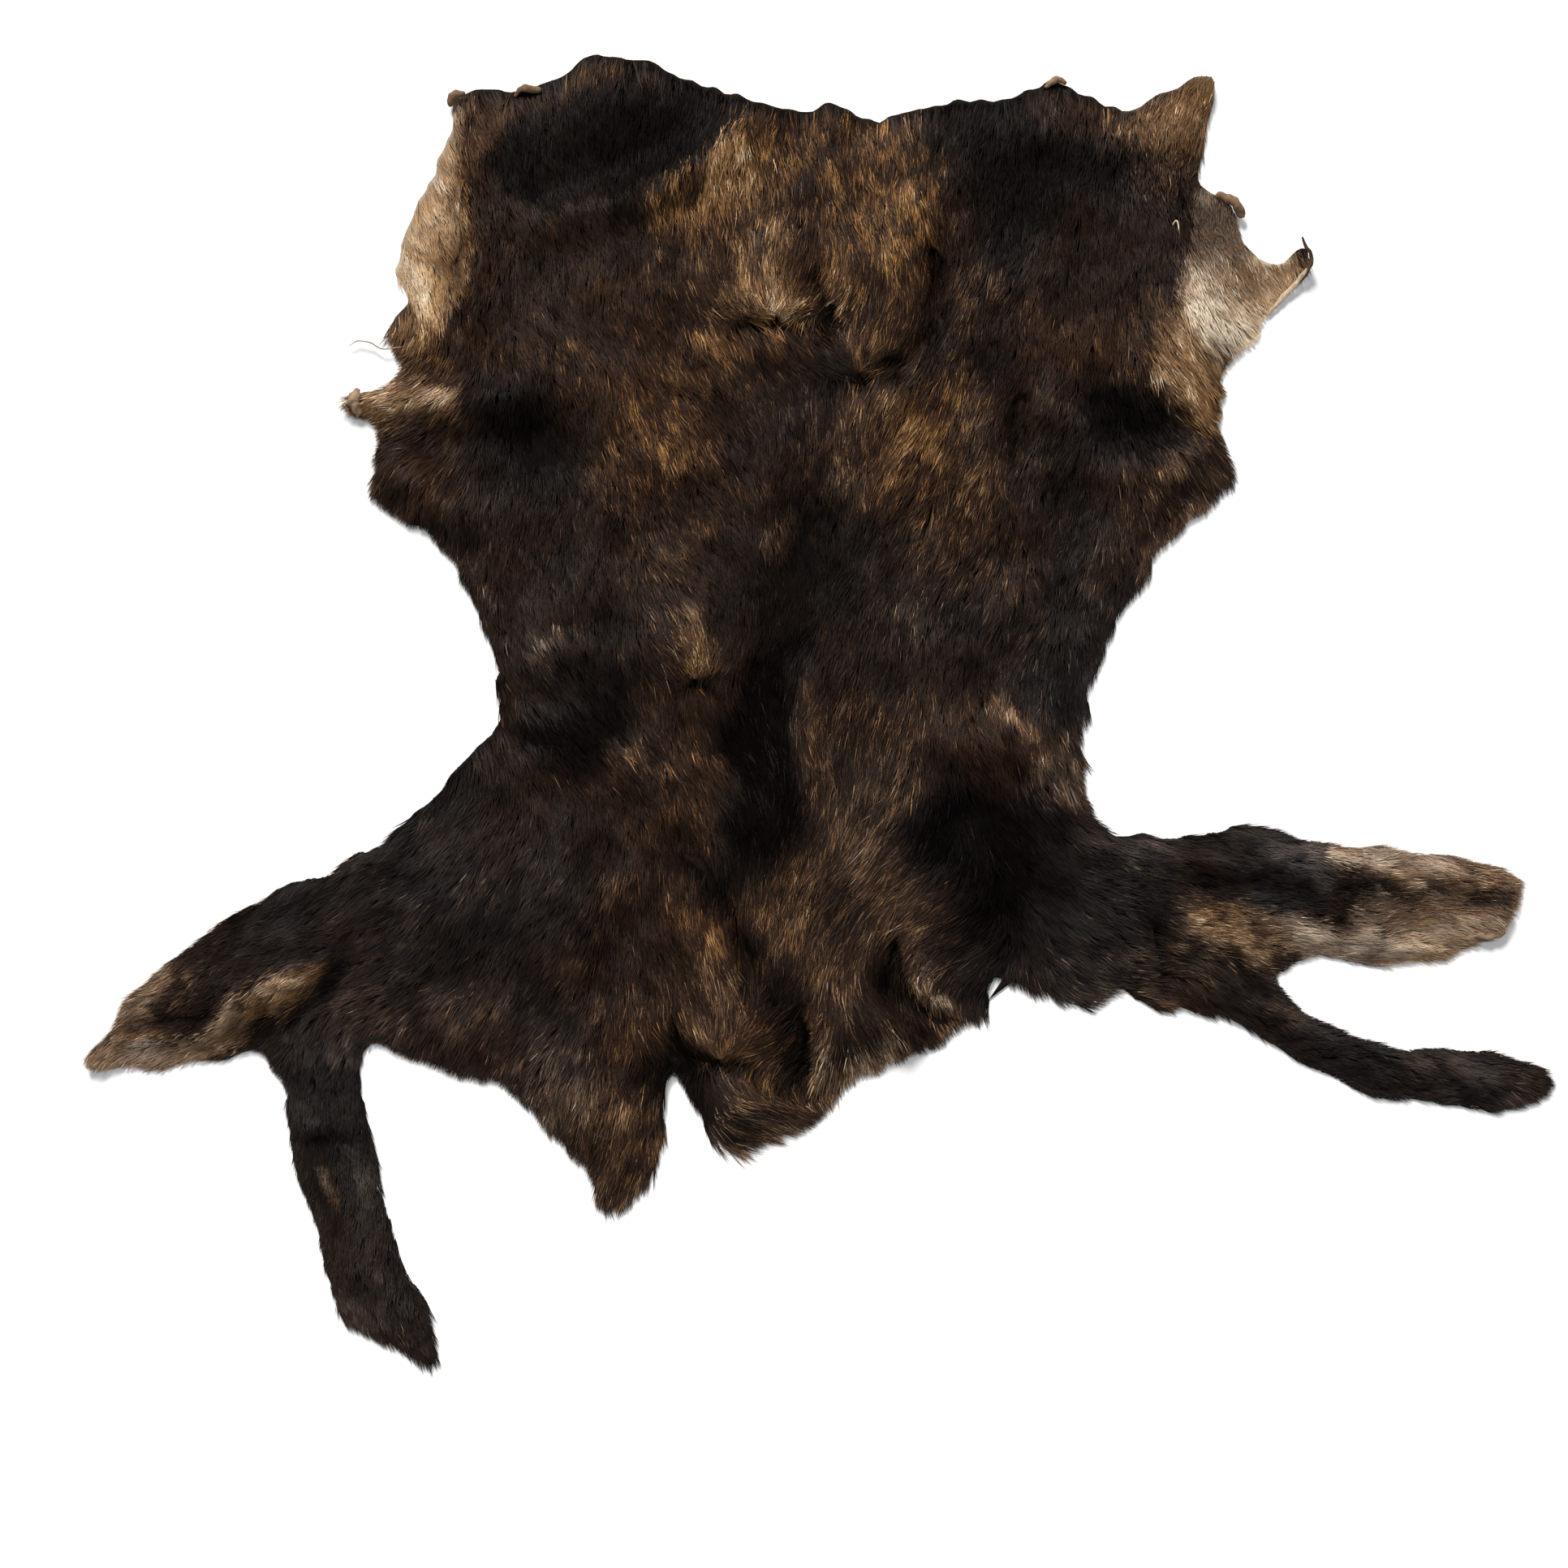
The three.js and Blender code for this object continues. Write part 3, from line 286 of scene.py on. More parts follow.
# The coat's colours: place, reach, tone from black to white, warmth from grey to orange,
# and share of pale hairs. Rows in hollows, grooves and troughs are dark partly as painted shade.
COAT = (
    ("neck knob", -0.374, 1.197, 0.050, 0.13, 1.00, 0.02),
    ("fan", -0.044, 1.025, 0.120, 0.17, 1.00, 0.33),
    ("fan, left", -0.164, 1.020, 0.080, 0.29, 1.00, 0.44),
    ("fan, right", 0.106, 1.070, 0.080, 0.20, 0.97, 0.30),
    ("fan, top edge", -0.090, 1.090, 0.045, 0.12, 1.00, 0.20),
    ("fan, top middle", -0.029, 1.070, 0.030, 0.10, 1.00, 0.15),
    ("fan, top right", 0.050, 1.115, 0.050, 0.14, 1.00, 0.20),
    ("fan, lower left", -0.209, 0.935, 0.080, 0.15, 1.00, 0.30),
    ("fan, lower middle", -0.014, 0.875, 0.120, 0.17, 0.90, 0.35),
    ("fan, lower right", 0.181, 0.905, 0.080, 0.20, 0.85, 0.36),
    ("fan, foot", 0.256, 0.770, 0.070, 0.14, 0.80, 0.20),
    ("dark of the fan foot", 0.325, 0.700, 0.040, 0.06, 0.60, 0.02),
    ("black right of the fan", 0.346, 1.025, 0.090, 0.07, 0.30, 0.00),
    ("black below it", 0.331, 0.890, 0.070, 0.08, 0.30, 0.01),
    ("brown edge of the black", 0.286, 0.920, 0.035, 0.12, 0.85, 0.15),
    ("under the ear", 0.545, 0.965, 0.040, 0.07, 0.50, 0.00),
    ("right brow", 0.451, 1.105, 0.060, 0.16, 0.90, 0.02),
    ("right shoulder", 0.481, 0.875, 0.110, 0.12, 0.75, 0.00),
    ("ear corner", 0.646, 1.115, 0.070, 0.24, 0.70, 0.10),
    ("ear root", 0.586, 1.055, 0.060, 0.32, 0.85, 0.08),
    ("ear rim", 0.721, 1.100, 0.040, 0.28, 0.50, 0.10),
    ("brown above the tuft", 0.631, 0.680, 0.060, 0.16, 0.70, 0.08),
    # painted shade: the hollow by the tuft is coloured near black where it lies in shade
    ("hollow by the tuft", 0.575, 0.548, 0.060, 0.03, 0.30, 0.00),
    ("left shoulder", -0.554, 0.875, 0.110, 0.13, 0.70, 0.00),
    ("left shoulder, inner", -0.420, 0.890, 0.080, 0.11, 0.50, 0.00),
    ("left flank tuft", -0.734, 0.680, 0.060, 0.30, 0.85, 0.10),
    ("left flank, red top", -0.674, 0.664, 0.040, 0.22, 1.00, 0.05),
    ("left flank, red", -0.650, 0.640, 0.060, 0.18, 1.00, 0.04),
    ("left of the neck", -0.585, 1.085, 0.060, 0.17, 1.00, 0.00),
    ("right of the left strip", -0.605, 0.845, 0.035, 0.25, 0.95, 0.04),
    # painted shade: the hollows by the left tab are coloured near black where they lie in shade
    ("hollow by the tab", -0.539, 0.545, 0.075, 0.03, 0.30, 0.00),
    ("hollow by the tab, right", -0.440, 0.515, 0.045, 0.06, 0.40, 0.00),
    ("beside that hollow", -0.405, 0.515, 0.035, 0.08, 0.50, 0.02),
    ("left tab shadow", -0.600, 0.610, 0.035, 0.05, 0.50, 0.00),
    ("left tab, lower", -0.665, 0.555, 0.035, 0.24, 0.90, 0.05),
    ("left elbow", -0.764, 0.440, 0.060, 0.26, 0.60, 0.02),
    ("left elbow, foot", -0.640, 0.330, 0.060, 0.18, 0.45, 0.02),
    ("withers whorl", -0.082, 0.812, 0.046, 0.29, 0.85, 0.30),
    ("withers whorl, left arm", -0.140, 0.812, 0.034, 0.27, 0.85, 0.30),
    ("withers whorl, point", -0.079, 0.752, 0.028, 0.27, 0.85, 0.30),
    ("tan lock left of it", -0.179, 0.705, 0.026, 0.36, 0.80, 0.34),
    ("withers whorl, right", -0.029, 0.815, 0.030, 0.26, 0.85, 0.30),
    ("between the withers", -0.044, 0.560, 0.030, 0.09, 0.50, 0.08),
    # painted shade: dark in the hollow between the whorls
    ("dark right of it", 0.016, 0.770, 0.030, 0.08, 0.40, 0.02),
    ("second whorl", 0.090, 0.728, 0.050, 0.19, 0.80, 0.22),
    ("above the second whorl", 0.130, 0.815, 0.035, 0.12, 0.85, 0.20),
    ("second whorl, top", 0.060, 0.800, 0.028, 0.22, 0.60, 0.25),
    ("second whorl, gold", 0.180, 0.700, 0.045, 0.23, 1.00, 0.30),
    ("second whorl, point", 0.083, 0.650, 0.024, 0.14, 0.85, 0.20),
    # painted shade: dark along the hollow right of the second whorl and the crescent beneath it
    ("dark right of the whorl", 0.220, 0.770, 0.030, 0.06, 0.40, 0.00),
    ("dark right of the whorl, top", 0.222, 0.832, 0.022, 0.04, 0.40, 0.00),
    ("dark below it", 0.233, 0.680, 0.030, 0.07, 0.40, 0.00),
    ("ticked withers", -0.014, 0.545, 0.200, 0.17, 0.60, 0.20),
    ("orange, left", -0.280, 0.530, 0.110, 0.18, 0.95, 0.18),
    ("orange, lower left", -0.280, 0.425, 0.110, 0.20, 0.95, 0.16),
    ("orange, right", 0.151, 0.545, 0.110, 0.19, 0.80, 0.20),
    ("orange, lower right", 0.136, 0.440, 0.100, 0.17, 0.90, 0.17),
    ("orange, far right", 0.271, 0.605, 0.050, 0.21, 0.90, 0.20),
    ("dark spine", -0.090, 0.485, 0.055, 0.13, 0.50, 0.06),
    ("dark spine, upper", 0.010, 0.640, 0.035, 0.07, 0.40, 0.03),
    ("dark spine, lower", 0.018, 0.320, 0.060, 0.03, 0.30, 0.01),
    ("dark spine, middle", 0.012, 0.450, 0.040, 0.07, 0.40, 0.02),
    ("left withers", -0.404, 0.650, 0.090, 0.14, 0.85, 0.03),
    ("right withers", 0.421, 0.650, 0.090, 0.14, 0.80, 0.01),
    ("black of the back", -0.044, 0.320, 0.090, 0.04, 0.35, 0.01),
    ("black of the back, left", -0.150, 0.300, 0.055, 0.05, 0.30, 0.01),
    ("back, right of the spine", 0.076, 0.275, 0.120, 0.09, 0.30, 0.04),
    ("back, left of the spine", -0.264, 0.330, 0.100, 0.13, 0.60, 0.08),
    ("left ribs", -0.464, 0.305, 0.110, 0.10, 0.55, 0.02),
    ("left ribs, foot", -0.434, 0.170, 0.050, 0.06, 0.40, 0.01),
    ("right ribs", 0.286, 0.365, 0.110, 0.22, 0.62, 0.14),
    ("right flank", 0.481, 0.395, 0.090, 0.13, 0.40, 0.04),
    ("right elbow", 0.616, 0.365, 0.070, 0.22, 0.42, 0.06),
    ("right elbow, foot", 0.560, 0.280, 0.050, 0.25, 0.40, 0.04),
    ("right elbow tip", 0.690, 0.430, 0.060, 0.28, 0.52, 0.06),
    ("tan arc on the spine", -0.074, 0.350, 0.025, 0.25, 0.60, 0.15),
    ("loin whorl", -0.242, 0.185, 0.018, 0.18, 0.80, 0.22),
    ("loin whorl, middle", -0.236, 0.148, 0.020, 0.18, 0.80, 0.22),
    ("loin whorl, point", -0.232, 0.112, 0.020, 0.17, 0.90, 0.20),
    # partly black hair and partly painted shade in the left loin's hollow and the spine's trough
    ("black of the left loin", -0.450, -0.005, 0.070, 0.02, 0.30, 0.00),
    ("black of the spine", -0.075, 0.060, 0.045, 0.02, 0.30, 0.00),
    ("black of the spine, middle", -0.095, -0.030, 0.050, 0.02, 0.30, 0.00),
    ("black of the spine, foot", -0.105, -0.130, 0.050, 0.02, 0.30, 0.00),
    ("black of the spine, end", -0.130, -0.215, 0.045, 0.03, 0.40, 0.01),
    ("grey of the left loin", -0.459, 0.085, 0.075, 0.26, 0.20, 0.03),
    ("right loin", 0.211, 0.185, 0.130, 0.12, 0.35, 0.03),
    ("tan spot", 0.346, 0.005, 0.020, 0.22, 0.55, 0.15),
    ("brown spot", 0.271, -0.025, 0.030, 0.12, 0.70, 0.04),
    ("right loin edge", 0.466, 0.065, 0.060, 0.14, 0.05, 0.03),
    ("right flank, foot", 0.500, 0.190, 0.060, 0.11, 0.10, 0.02),
    ("haunch lip", 0.445, -0.115, 0.040, 0.31, 0.25, 0.08),
    ("haunch lip, left", 0.301, -0.093, 0.040, 0.12, 0.85, 0.03),
    # partly dark hair and partly painted shade in the haunch hollow
    ("haunch hollow", 0.270, -0.225, 0.080, 0.01, 0.10, 0.00),
    ("haunch hollow, left", 0.205, -0.240, 0.045, 0.02, 0.20, 0.00),
    ("haunch hollow, foot", 0.300, -0.330, 0.060, 0.02, 0.20, 0.00),
    ("haunch hollow, right", 0.391, -0.265, 0.080, 0.05, 0.10, 0.00),
    ("grizzled loin", 0.031, -0.025, 0.080, 0.16, 0.68, 0.22),
    ("grizzled loin, right", 0.106, -0.105, 0.080, 0.15, 0.68, 0.19),
    ("grizzled loin, left", -0.224, -0.115, 0.060, 0.17, 0.85, 0.20),
    ("brown of the left loin", -0.314, -0.055, 0.060, 0.14, 0.85, 0.10),
    ("grizzled rump", 0.045, -0.260, 0.095, 0.17, 0.72, 0.24),
    ("grizzled rump, right", 0.120, -0.300, 0.070, 0.14, 0.60, 0.19),
    ("grizzled rump, foot", -0.014, -0.400, 0.100, 0.18, 0.70, 0.27),
    ("rump, left of the groove", -0.234, -0.370, 0.050, 0.20, 0.90, 0.25),
    # painted shade: dark lines along the rump groove and the right lobe's crease
    ("rump groove", -0.185, -0.300, 0.026, 0.03, 0.40, 0.00),
    ("rump groove, middle", -0.140, -0.395, 0.026, 0.03, 0.40, 0.00),
    ("rump groove, foot", -0.075, -0.505, 0.026, 0.03, 0.40, 0.00),
    ("right lobe, crease", 0.130, -0.485, 0.018, 0.04, 0.40, 0.00),
    ("right lobe, crease foot", 0.180, -0.560, 0.016, 0.04, 0.40, 0.00),
    ("tail head", -0.209, -0.505, 0.060, 0.20, 0.72, 0.28),
    ("tail head, right", -0.134, -0.580, 0.060, 0.21, 0.80, 0.25),
    ("tail", -0.134, -0.690, 0.050, 0.17, 0.65, 0.18),
    ("tail, left", -0.205, -0.700, 0.035, 0.05, 0.50, 0.02),
    ("tail tip", -0.140, -0.800, 0.045, 0.36, 0.60, 0.15),
    # painted shade: dark in the tail slit and the notch groove
    ("tail slit", -0.036, -0.625, 0.025, 0.03, 0.40, 0.00),
    ("notch groove", -0.261, -0.655, 0.025, 0.04, 0.40, 0.00),
    ("left haunch", -0.494, -0.325, 0.150, 0.17, 0.24, 0.01),
    ("left haunch, foot", -0.500, -0.560, 0.120, 0.20, 0.34, 0.03),
    ("left lobe, outer", -0.500, -0.690, 0.070, 0.26, 0.35, 0.06),
    ("left haunch, inner", -0.359, -0.400, 0.070, 0.16, 0.78, 0.06),
    ("left haunch, dimple", -0.404, -0.285, 0.045, 0.06, 0.50, 0.02),
    ("left lobe, top", -0.359, -0.550, 0.080, 0.16, 0.75, 0.12),
    ("left lobe", -0.329, -0.745, 0.050, 0.22, 0.60, 0.30),
    ("left lobe tip", -0.374, -0.835, 0.050, 0.16, 0.55, 0.12),
    ("right lobe, inner", 0.100, -0.520, 0.055, 0.07, 0.60, 0.06),
    ("right lobe, foot", 0.061, -0.645, 0.060, 0.28, 0.60, 0.28),
    ("right lobe, pale", 0.196, -0.505, 0.040, 0.22, 0.45, 0.25),
    # painted shade: dark beside the notch
    ("left of the notch", -0.290, -0.675, 0.030, 0.03, 0.40, 0.00),
    ("right foot, root", 0.811, -0.520, 0.035, 0.16, 0.30, 0.03),
    ("right toes, pale", 1.306, -0.685, 0.035, 0.22, 0.30, 0.05),
    ("left toes, brown", -0.764, -1.135, 0.040, 0.21, 0.35, 0.05),
    ("left shank, middle", -1.169, -0.535, 0.030, 0.30, 0.70, 0.05),
    ("right lobe, top", 0.220, -0.415, 0.045, 0.12, 0.55, 0.12),
    ("right haunch edge", 0.346, -0.460, 0.060, 0.11, 0.40, 0.03),
    ("right haunch, foot", 0.470, -0.430, 0.060, 0.18, 0.12, 0.02),
    ("right thigh", 0.556, -0.295, 0.090, 0.16, 0.10, 0.02),
    ("right knee", 0.646, -0.415, 0.060, 0.24, 0.42, 0.10),
    ("right shank, black", 0.841, -0.265, 0.070, 0.27, 0.00, 0.00),
    ("right foot", 0.961, -0.580, 0.120, 0.20, 0.12, 0.00),
    ("right foot, end", 1.231, -0.670, 0.090, 0.20, 0.05, 0.00),
    ("left thigh", -0.869, -0.370, 0.110, 0.13, 0.30, 0.02),
    ("left thigh, top", -0.734, -0.220, 0.090, 0.10, 0.12, 0.01),
    ("left thigh, brown", -0.850, -0.470, 0.075, 0.28, 0.42, 0.02),
    ("left shank", -1.064, -0.475, 0.060, 0.13, 0.50, 0.03),
    ("left shank, blotch", -1.146, -0.550, 0.040, 0.10, 0.40, 0.02),
    ("left heel", -0.914, -0.670, 0.070, 0.20, 0.25, 0.00),
    ("left foot", -0.854, -0.850, 0.100, 0.21, 0.12, 0.00),
    ("left toes", -0.794, -1.075, 0.090, 0.22, 0.03, 0.00),
)
PLAIN_COAT = (0.13, 0.65, 0.015)
COAT_HOLD = 0.04  # weight of the plain coat against the named places

# Parts of the coat with a clear edge: tone, warmth, share of pale hairs, length of the hair if the zone has
# its own, softness of the edge, and outline
ZONES = (
    ("black of the neck", 0.050, 0.35, 0.0, None, 0.010, (
        (-0.614, 1.024), (-0.554, 1.115), (-0.344, 1.197), (-0.209, 1.157), (-0.128, 1.110),
        (-0.224, 1.034), (-0.305, 0.966), (-0.366, 0.948), (-0.464, 0.956), (-0.569, 0.950))),
    ("left strip", 0.64, 0.60, 0.0, 0.034, 0.010, (
        (-0.689, 1.147), (-0.640, 1.139), (-0.660, 1.091), (-0.663, 1.018), (-0.657, 0.938),
        (-0.645, 0.855), (-0.652, 0.790), (-0.680, 0.740), (-0.700, 0.722), (-0.722, 0.732),
        (-0.760, 0.768), (-0.809, 0.815), (-0.809, 0.875), (-0.764, 0.928), (-0.734, 1.010),
        (-0.704, 1.099))),
    ("left strip, foot", 0.80, 0.70, 0.0, 0.036, 0.018, (
        (-0.809, 0.845), (-0.700, 0.830), (-0.694, 0.764), (-0.702, 0.726), (-0.724, 0.738),
        (-0.764, 0.772), (-0.809, 0.815))),
    ("left strip, red edge", 0.24, 1.00, 0.05, 0.024, 0.008, (
        (-0.660, 1.030), (-0.644, 1.020), (-0.632, 0.875), (-0.632, 0.800), (-0.650, 0.770),
        (-0.644, 0.860), (-0.655, 0.940))),
    ("left flank tuft", 0.40, 0.66, 0.12, 0.036, 0.014, (
        (-0.806, 0.735), (-0.768, 0.744), (-0.713, 0.711), (-0.686, 0.664), (-0.750, 0.651),
        (-0.801, 0.689))),
    ("left tab", 0.44, 0.64, 0.12, 0.034, 0.014, (
        (-0.884, 0.612), (-0.839, 0.620), (-0.794, 0.637), (-0.749, 0.646), (-0.734, 0.623),
        (-0.690, 0.612), (-0.645, 0.602), (-0.670, 0.580), (-0.719, 0.545), (-0.794, 0.529),
        (-0.876, 0.537))),
    ("left tab, fold", 0.52, 0.58, 0.05, 0.030, 0.014, (
        (-0.746, 0.614), (-0.704, 0.608), (-0.659, 0.599), (-0.697, 0.590), (-0.742, 0.599))),
    ("ear corner", 0.52, 0.76, 0.05, 0.022, 0.030, (
        (0.586, 1.115), (0.661, 1.157), (0.699, 1.192), (0.736, 1.197), (0.758, 1.167), (0.736, 1.099),
        (0.724, 1.032), (0.676, 1.028), (0.624, 1.024), (0.579, 1.040), (0.564, 1.077))),
    ("ear corner, foot", 0.26, 0.80, 0.05, 0.018, 0.035, (
        (0.536, 1.060), (0.622, 1.044), (0.712, 1.050), (0.697, 0.987), (0.632, 0.950), (0.559, 0.971))),
    ("flap, top", 0.50, 0.52, 0.0, 0.016, 0.010, (
        (0.694, 0.972), (0.736, 0.974), (0.796, 0.931), (0.788, 0.889), (0.811, 0.857), (0.736, 0.830),
        (0.699, 0.845), (0.688, 0.904))),
    ("flap", 0.72, 0.54, 0.06, 0.028, 0.018, (
        (0.688, 0.848), (0.736, 0.833), (0.803, 0.863), (0.849, 0.863), (0.893, 0.837), (0.916, 0.845),
        (0.886, 0.777), (0.834, 0.740), (0.826, 0.702), (0.796, 0.670), (0.736, 0.661), (0.688, 0.682),
        (0.664, 0.737), (0.670, 0.807))),
    ("flap, foot", 0.88, 0.55, 0.0, 0.030, 0.014, (
        (0.688, 0.728), (0.736, 0.713), (0.796, 0.747), (0.823, 0.725), (0.808, 0.687), (0.781, 0.657),
        (0.729, 0.679), (0.700, 0.702))),
    ("brown tuft", 0.38, 0.64, 0.16, 0.036, 0.020, (
        (0.619, 0.781), (0.658, 0.763), (0.676, 0.722), (0.703, 0.682), (0.739, 0.652), (0.750, 0.631),
        (0.739, 0.590), (0.751, 0.535), (0.718, 0.513), (0.643, 0.575), (0.598, 0.614), (0.583, 0.637),
        (0.631, 0.670), (0.640, 0.732))),
    ("right shank", 0.58, 0.44, 0.04, 0.027, 0.006, (
        (0.934, -0.235), (1.036, -0.224), (1.126, -0.233), (1.261, -0.254), (1.321, -0.288),
        (1.321, -0.355), (1.276, -0.408), (1.186, -0.430), (1.133, -0.475), (1.036, -0.487),
        (0.946, -0.483), (0.893, -0.468), (0.883, -0.423), (0.849, -0.395), (0.808, -0.367),
        (0.856, -0.364), (0.916, -0.383), (0.976, -0.389), (0.988, -0.355), (1.021, -0.329),
        (0.994, -0.298), (1.006, -0.275), (0.946, -0.269))),
    ("right shank, olive", 0.46, 0.62, 0.10, 0.027, 0.012, (
        (1.036, -0.288), (1.126, -0.269), (1.261, -0.295), (1.306, -0.326), (1.246, -0.358),
        (1.126, -0.367), (1.036, -0.355))),
    ("right shank, pale streak", 0.68, 0.34, 0.0, 0.027, 0.008, (
        (1.006, -0.244), (1.096, -0.241), (1.186, -0.257), (1.171, -0.275), (1.096, -0.269),
        (1.036, -0.275))),
    ("right shank, dark end", 0.28, 0.35, 0.0, 0.014, 0.010, (
        (1.186, -0.314), (1.261, -0.310), (1.294, -0.335), (1.261, -0.355), (1.186, -0.346))),
    ("right shank, blotch", 0.12, 0.45, 0.04, 0.016, 0.012, (
        (0.934, -0.301), (0.982, -0.286), (1.027, -0.307), (1.030, -0.335), (0.988, -0.349),
        (0.940, -0.344))),
    ("right shank, small blotch", 0.10, 0.40, 0.0, 0.014, 0.005, (
        (0.946, -0.377), (0.964, -0.364), (0.982, -0.373), (0.976, -0.392), (0.955, -0.396))),
    ("right shank, speck", 0.12, 0.40, 0.0, 0.014, 0.005, (
        (1.027, -0.396), (1.042, -0.387), (1.058, -0.398), (1.045, -0.411), (1.030, -0.408))),
    ("right shank, upper speck", 0.14, 0.40, 0.0, 0.012, 0.006, (
        (1.186, -0.289), (1.204, -0.281), (1.225, -0.291), (1.204, -0.303))),
    ("right heel", 0.48, 0.60, 0.36, 0.026, 0.022, (
        (0.668, -0.344), (0.736, -0.346), (0.811, -0.364), (0.871, -0.401), (0.893, -0.433),
        (0.841, -0.433), (0.829, -0.475), (0.781, -0.449), (0.736, -0.424), (0.691, -0.401))),
    ("left shank, lower edge", 0.58, 0.50, 0.04, 0.024, 0.006, (
        (-1.371, -0.640), (-1.346, -0.614), (-1.304, -0.602), (-1.214, -0.612), (-1.139, -0.597),
        (-1.106, -0.559), (-1.082, -0.517), (-1.064, -0.529), (-1.050, -0.573), (-1.076, -0.608),
        (-1.136, -0.637), (-1.192, -0.670), (-1.289, -0.670), (-1.371, -0.663))),
    ("left shank, end", 0.52, 0.52, 0.04, 0.024, 0.008, (
        (-1.319, -0.535), (-1.274, -0.505), (-1.222, -0.461), (-1.205, -0.452), (-1.190, -0.475),
        (-1.214, -0.514), (-1.242, -0.543), (-1.228, -0.575), (-1.256, -0.599), (-1.319, -0.608))),
    ("left shank, olive", 0.36, 0.80, 0.0, 0.014, 0.008, (
        (-1.304, -0.569), (-1.266, -0.558), (-1.220, -0.575), (-1.193, -0.596), (-1.259, -0.602),
        (-1.304, -0.596))),
    ("left tan fold", 0.42, 0.85, 0.22, 0.026, 0.010, (
        (-1.061, -0.514), (-1.034, -0.490), (-0.997, -0.469), (-0.952, -0.461), (-0.911, -0.450),
        (-0.896, -0.461), (-0.921, -0.484), (-0.952, -0.514), (-0.989, -0.544), (-1.031, -0.553),
        (-1.050, -0.562))),
    ("left foot slit", 0.46, 0.95, 0.0, 0.012, 0.004, (
        (-0.927, -0.821), (-0.911, -0.825), (-0.900, -0.869), (-0.891, -0.910), (-0.902, -0.907),
        (-0.914, -0.875))),
    # partly black hair and partly painted shade in the spine's trough
    ("black of the spine", 0.005, 0.30, 0.02, None, 0.030, (
        (-0.119, 0.068), (-0.036, 0.072), (-0.036, 0.004), (-0.026, -0.116), (-0.002, -0.221),
        (-0.074, -0.235), (-0.164, -0.235), (-0.200, -0.198), (-0.161, -0.101), (-0.158, 0.004))),
    # partly dark hair and partly painted shade in the haunch hollow
    ("haunch hollow", 0.008, 0.25, 0.0, None, 0.050, (
        (0.181, -0.191), (0.215, -0.150), (0.286, -0.128), (0.350, -0.130), (0.388, -0.165),
        (0.400, -0.215), (0.402, -0.290), (0.398, -0.370), (0.378, -0.415), (0.345, -0.405),
        (0.312, -0.365), (0.270, -0.325), (0.228, -0.285), (0.186, -0.250))),
    ("tail, dark side", 0.05, 0.50, 0.03, None, 0.020, (
        (-0.291, -0.670), (-0.239, -0.652), (-0.164, -0.664), (-0.152, -0.716), (-0.206, -0.757),
        (-0.262, -0.740))),
    # partly black hair and partly painted shade in the left loin's hollow
    ("black of the left loin", 0.0, 0.30, 0.0, None, 0.020, (
        (-0.584, -0.007), (-0.524, 0.013), (-0.419, 0.022), (-0.337, 0.004), (-0.356, -0.035),
        (-0.464, -0.056), (-0.554, -0.052))),
    ("black right of the fan", 0.035, 0.30, 0.0, None, 0.030, (
        (0.256, 1.077), (0.361, 1.085), (0.511, 1.073), (0.571, 1.032), (0.568, 0.977), (0.466, 0.947),
        (0.388, 0.897), (0.334, 0.875), (0.308, 0.942), (0.280, 1.017))),
)

# Turned and rolled edges of the hide: half width, half height, paleness, and the line as places in plan
# with a height that is added to part of the coat's own
ROLLS = (
    ("flap, hook", 0.0036, 0.0036, 0.12, (
        (0.880, 0.793, 0.004), (0.901, 0.821, 0.008), (0.905, 0.846, 0.014), (0.895, 0.863, 0.019),
        (0.886, 0.880, 0.024))),
    ("flap, turned edge", 0.0050, 0.0022, 0.72, (
        (0.829, 0.743, 0.002), (0.856, 0.775, 0.004), (0.883, 0.802, 0.006), (0.898, 0.824, 0.008))),
    ("flap, curl", 0.0100, 0.0060, 0.34, (
        (0.733, 0.962, 0.004), (0.755, 0.954, 0.007), (0.772, 0.939, 0.008), (0.778, 0.919, 0.005))),
    ("left corner", 0.0080, 0.0060, 0.30, (
        (-0.684, 1.127, 0.002), (-0.674, 1.145, 0.006), (-0.653, 1.149, 0.005))),
    ("neck lip", 0.0065, 0.0050, 0.28, (
        (-0.563, 1.145, 0.002), (-0.549, 1.159, 0.006), (-0.530, 1.158, 0.006), (-0.512, 1.157, 0.003))),
    ("neck tab", 0.0060, 0.0045, 0.38, (
        (0.416, 1.161, 0.002), (0.439, 1.176, 0.005), (0.457, 1.169, 0.003))),
    ("cut loop", 0.0015, 0.0020, 0.90, (
        (0.641, 0.883, 0.003), (0.656, 0.913, 0.008), (0.662, 0.897, 0.008), (0.665, 0.869, 0.003))),
    ("right shank tab", 0.0070, 0.0040, 0.45, (
        (1.195, -0.412, 0.001), (1.216, -0.404, 0.004), (1.242, -0.405, 0.004), (1.266, -0.398, 0.002))),
    ("left sliver", 0.0013, 0.0014, 0.58, (
        (-0.869, 0.684, 0.006), (-0.851, 0.693, 0.008), (-0.827, 0.689, 0.009), (-0.806, 0.678, 0.009),
        (-0.770, 0.682, 0.008))),
    ("left tab end", 0.0110, 0.0085, 0.46, (
        (-0.850, 0.605, 0.005), (-0.859, 0.581, 0.008), (-0.845, 0.555, 0.005))),
)

# The trunk's coat, one row for each stretch from neck to tail: piece, lower and upper end
TRUNK_STRETCHES = (
    ("neck_hair", 0.80, 1.40),
    ("shoulder_hair", 0.42, 0.80),
    ("back_hair", 0.06, 0.42),
    ("loin_hair", -0.28, 0.06),
    ("rump_hair", -1.40, -0.28),
)
LEFT_LEG = {"side": -0.80, "top": -0.24}
RIGHT_LEG = {"side": 0.58, "top": -0.15}


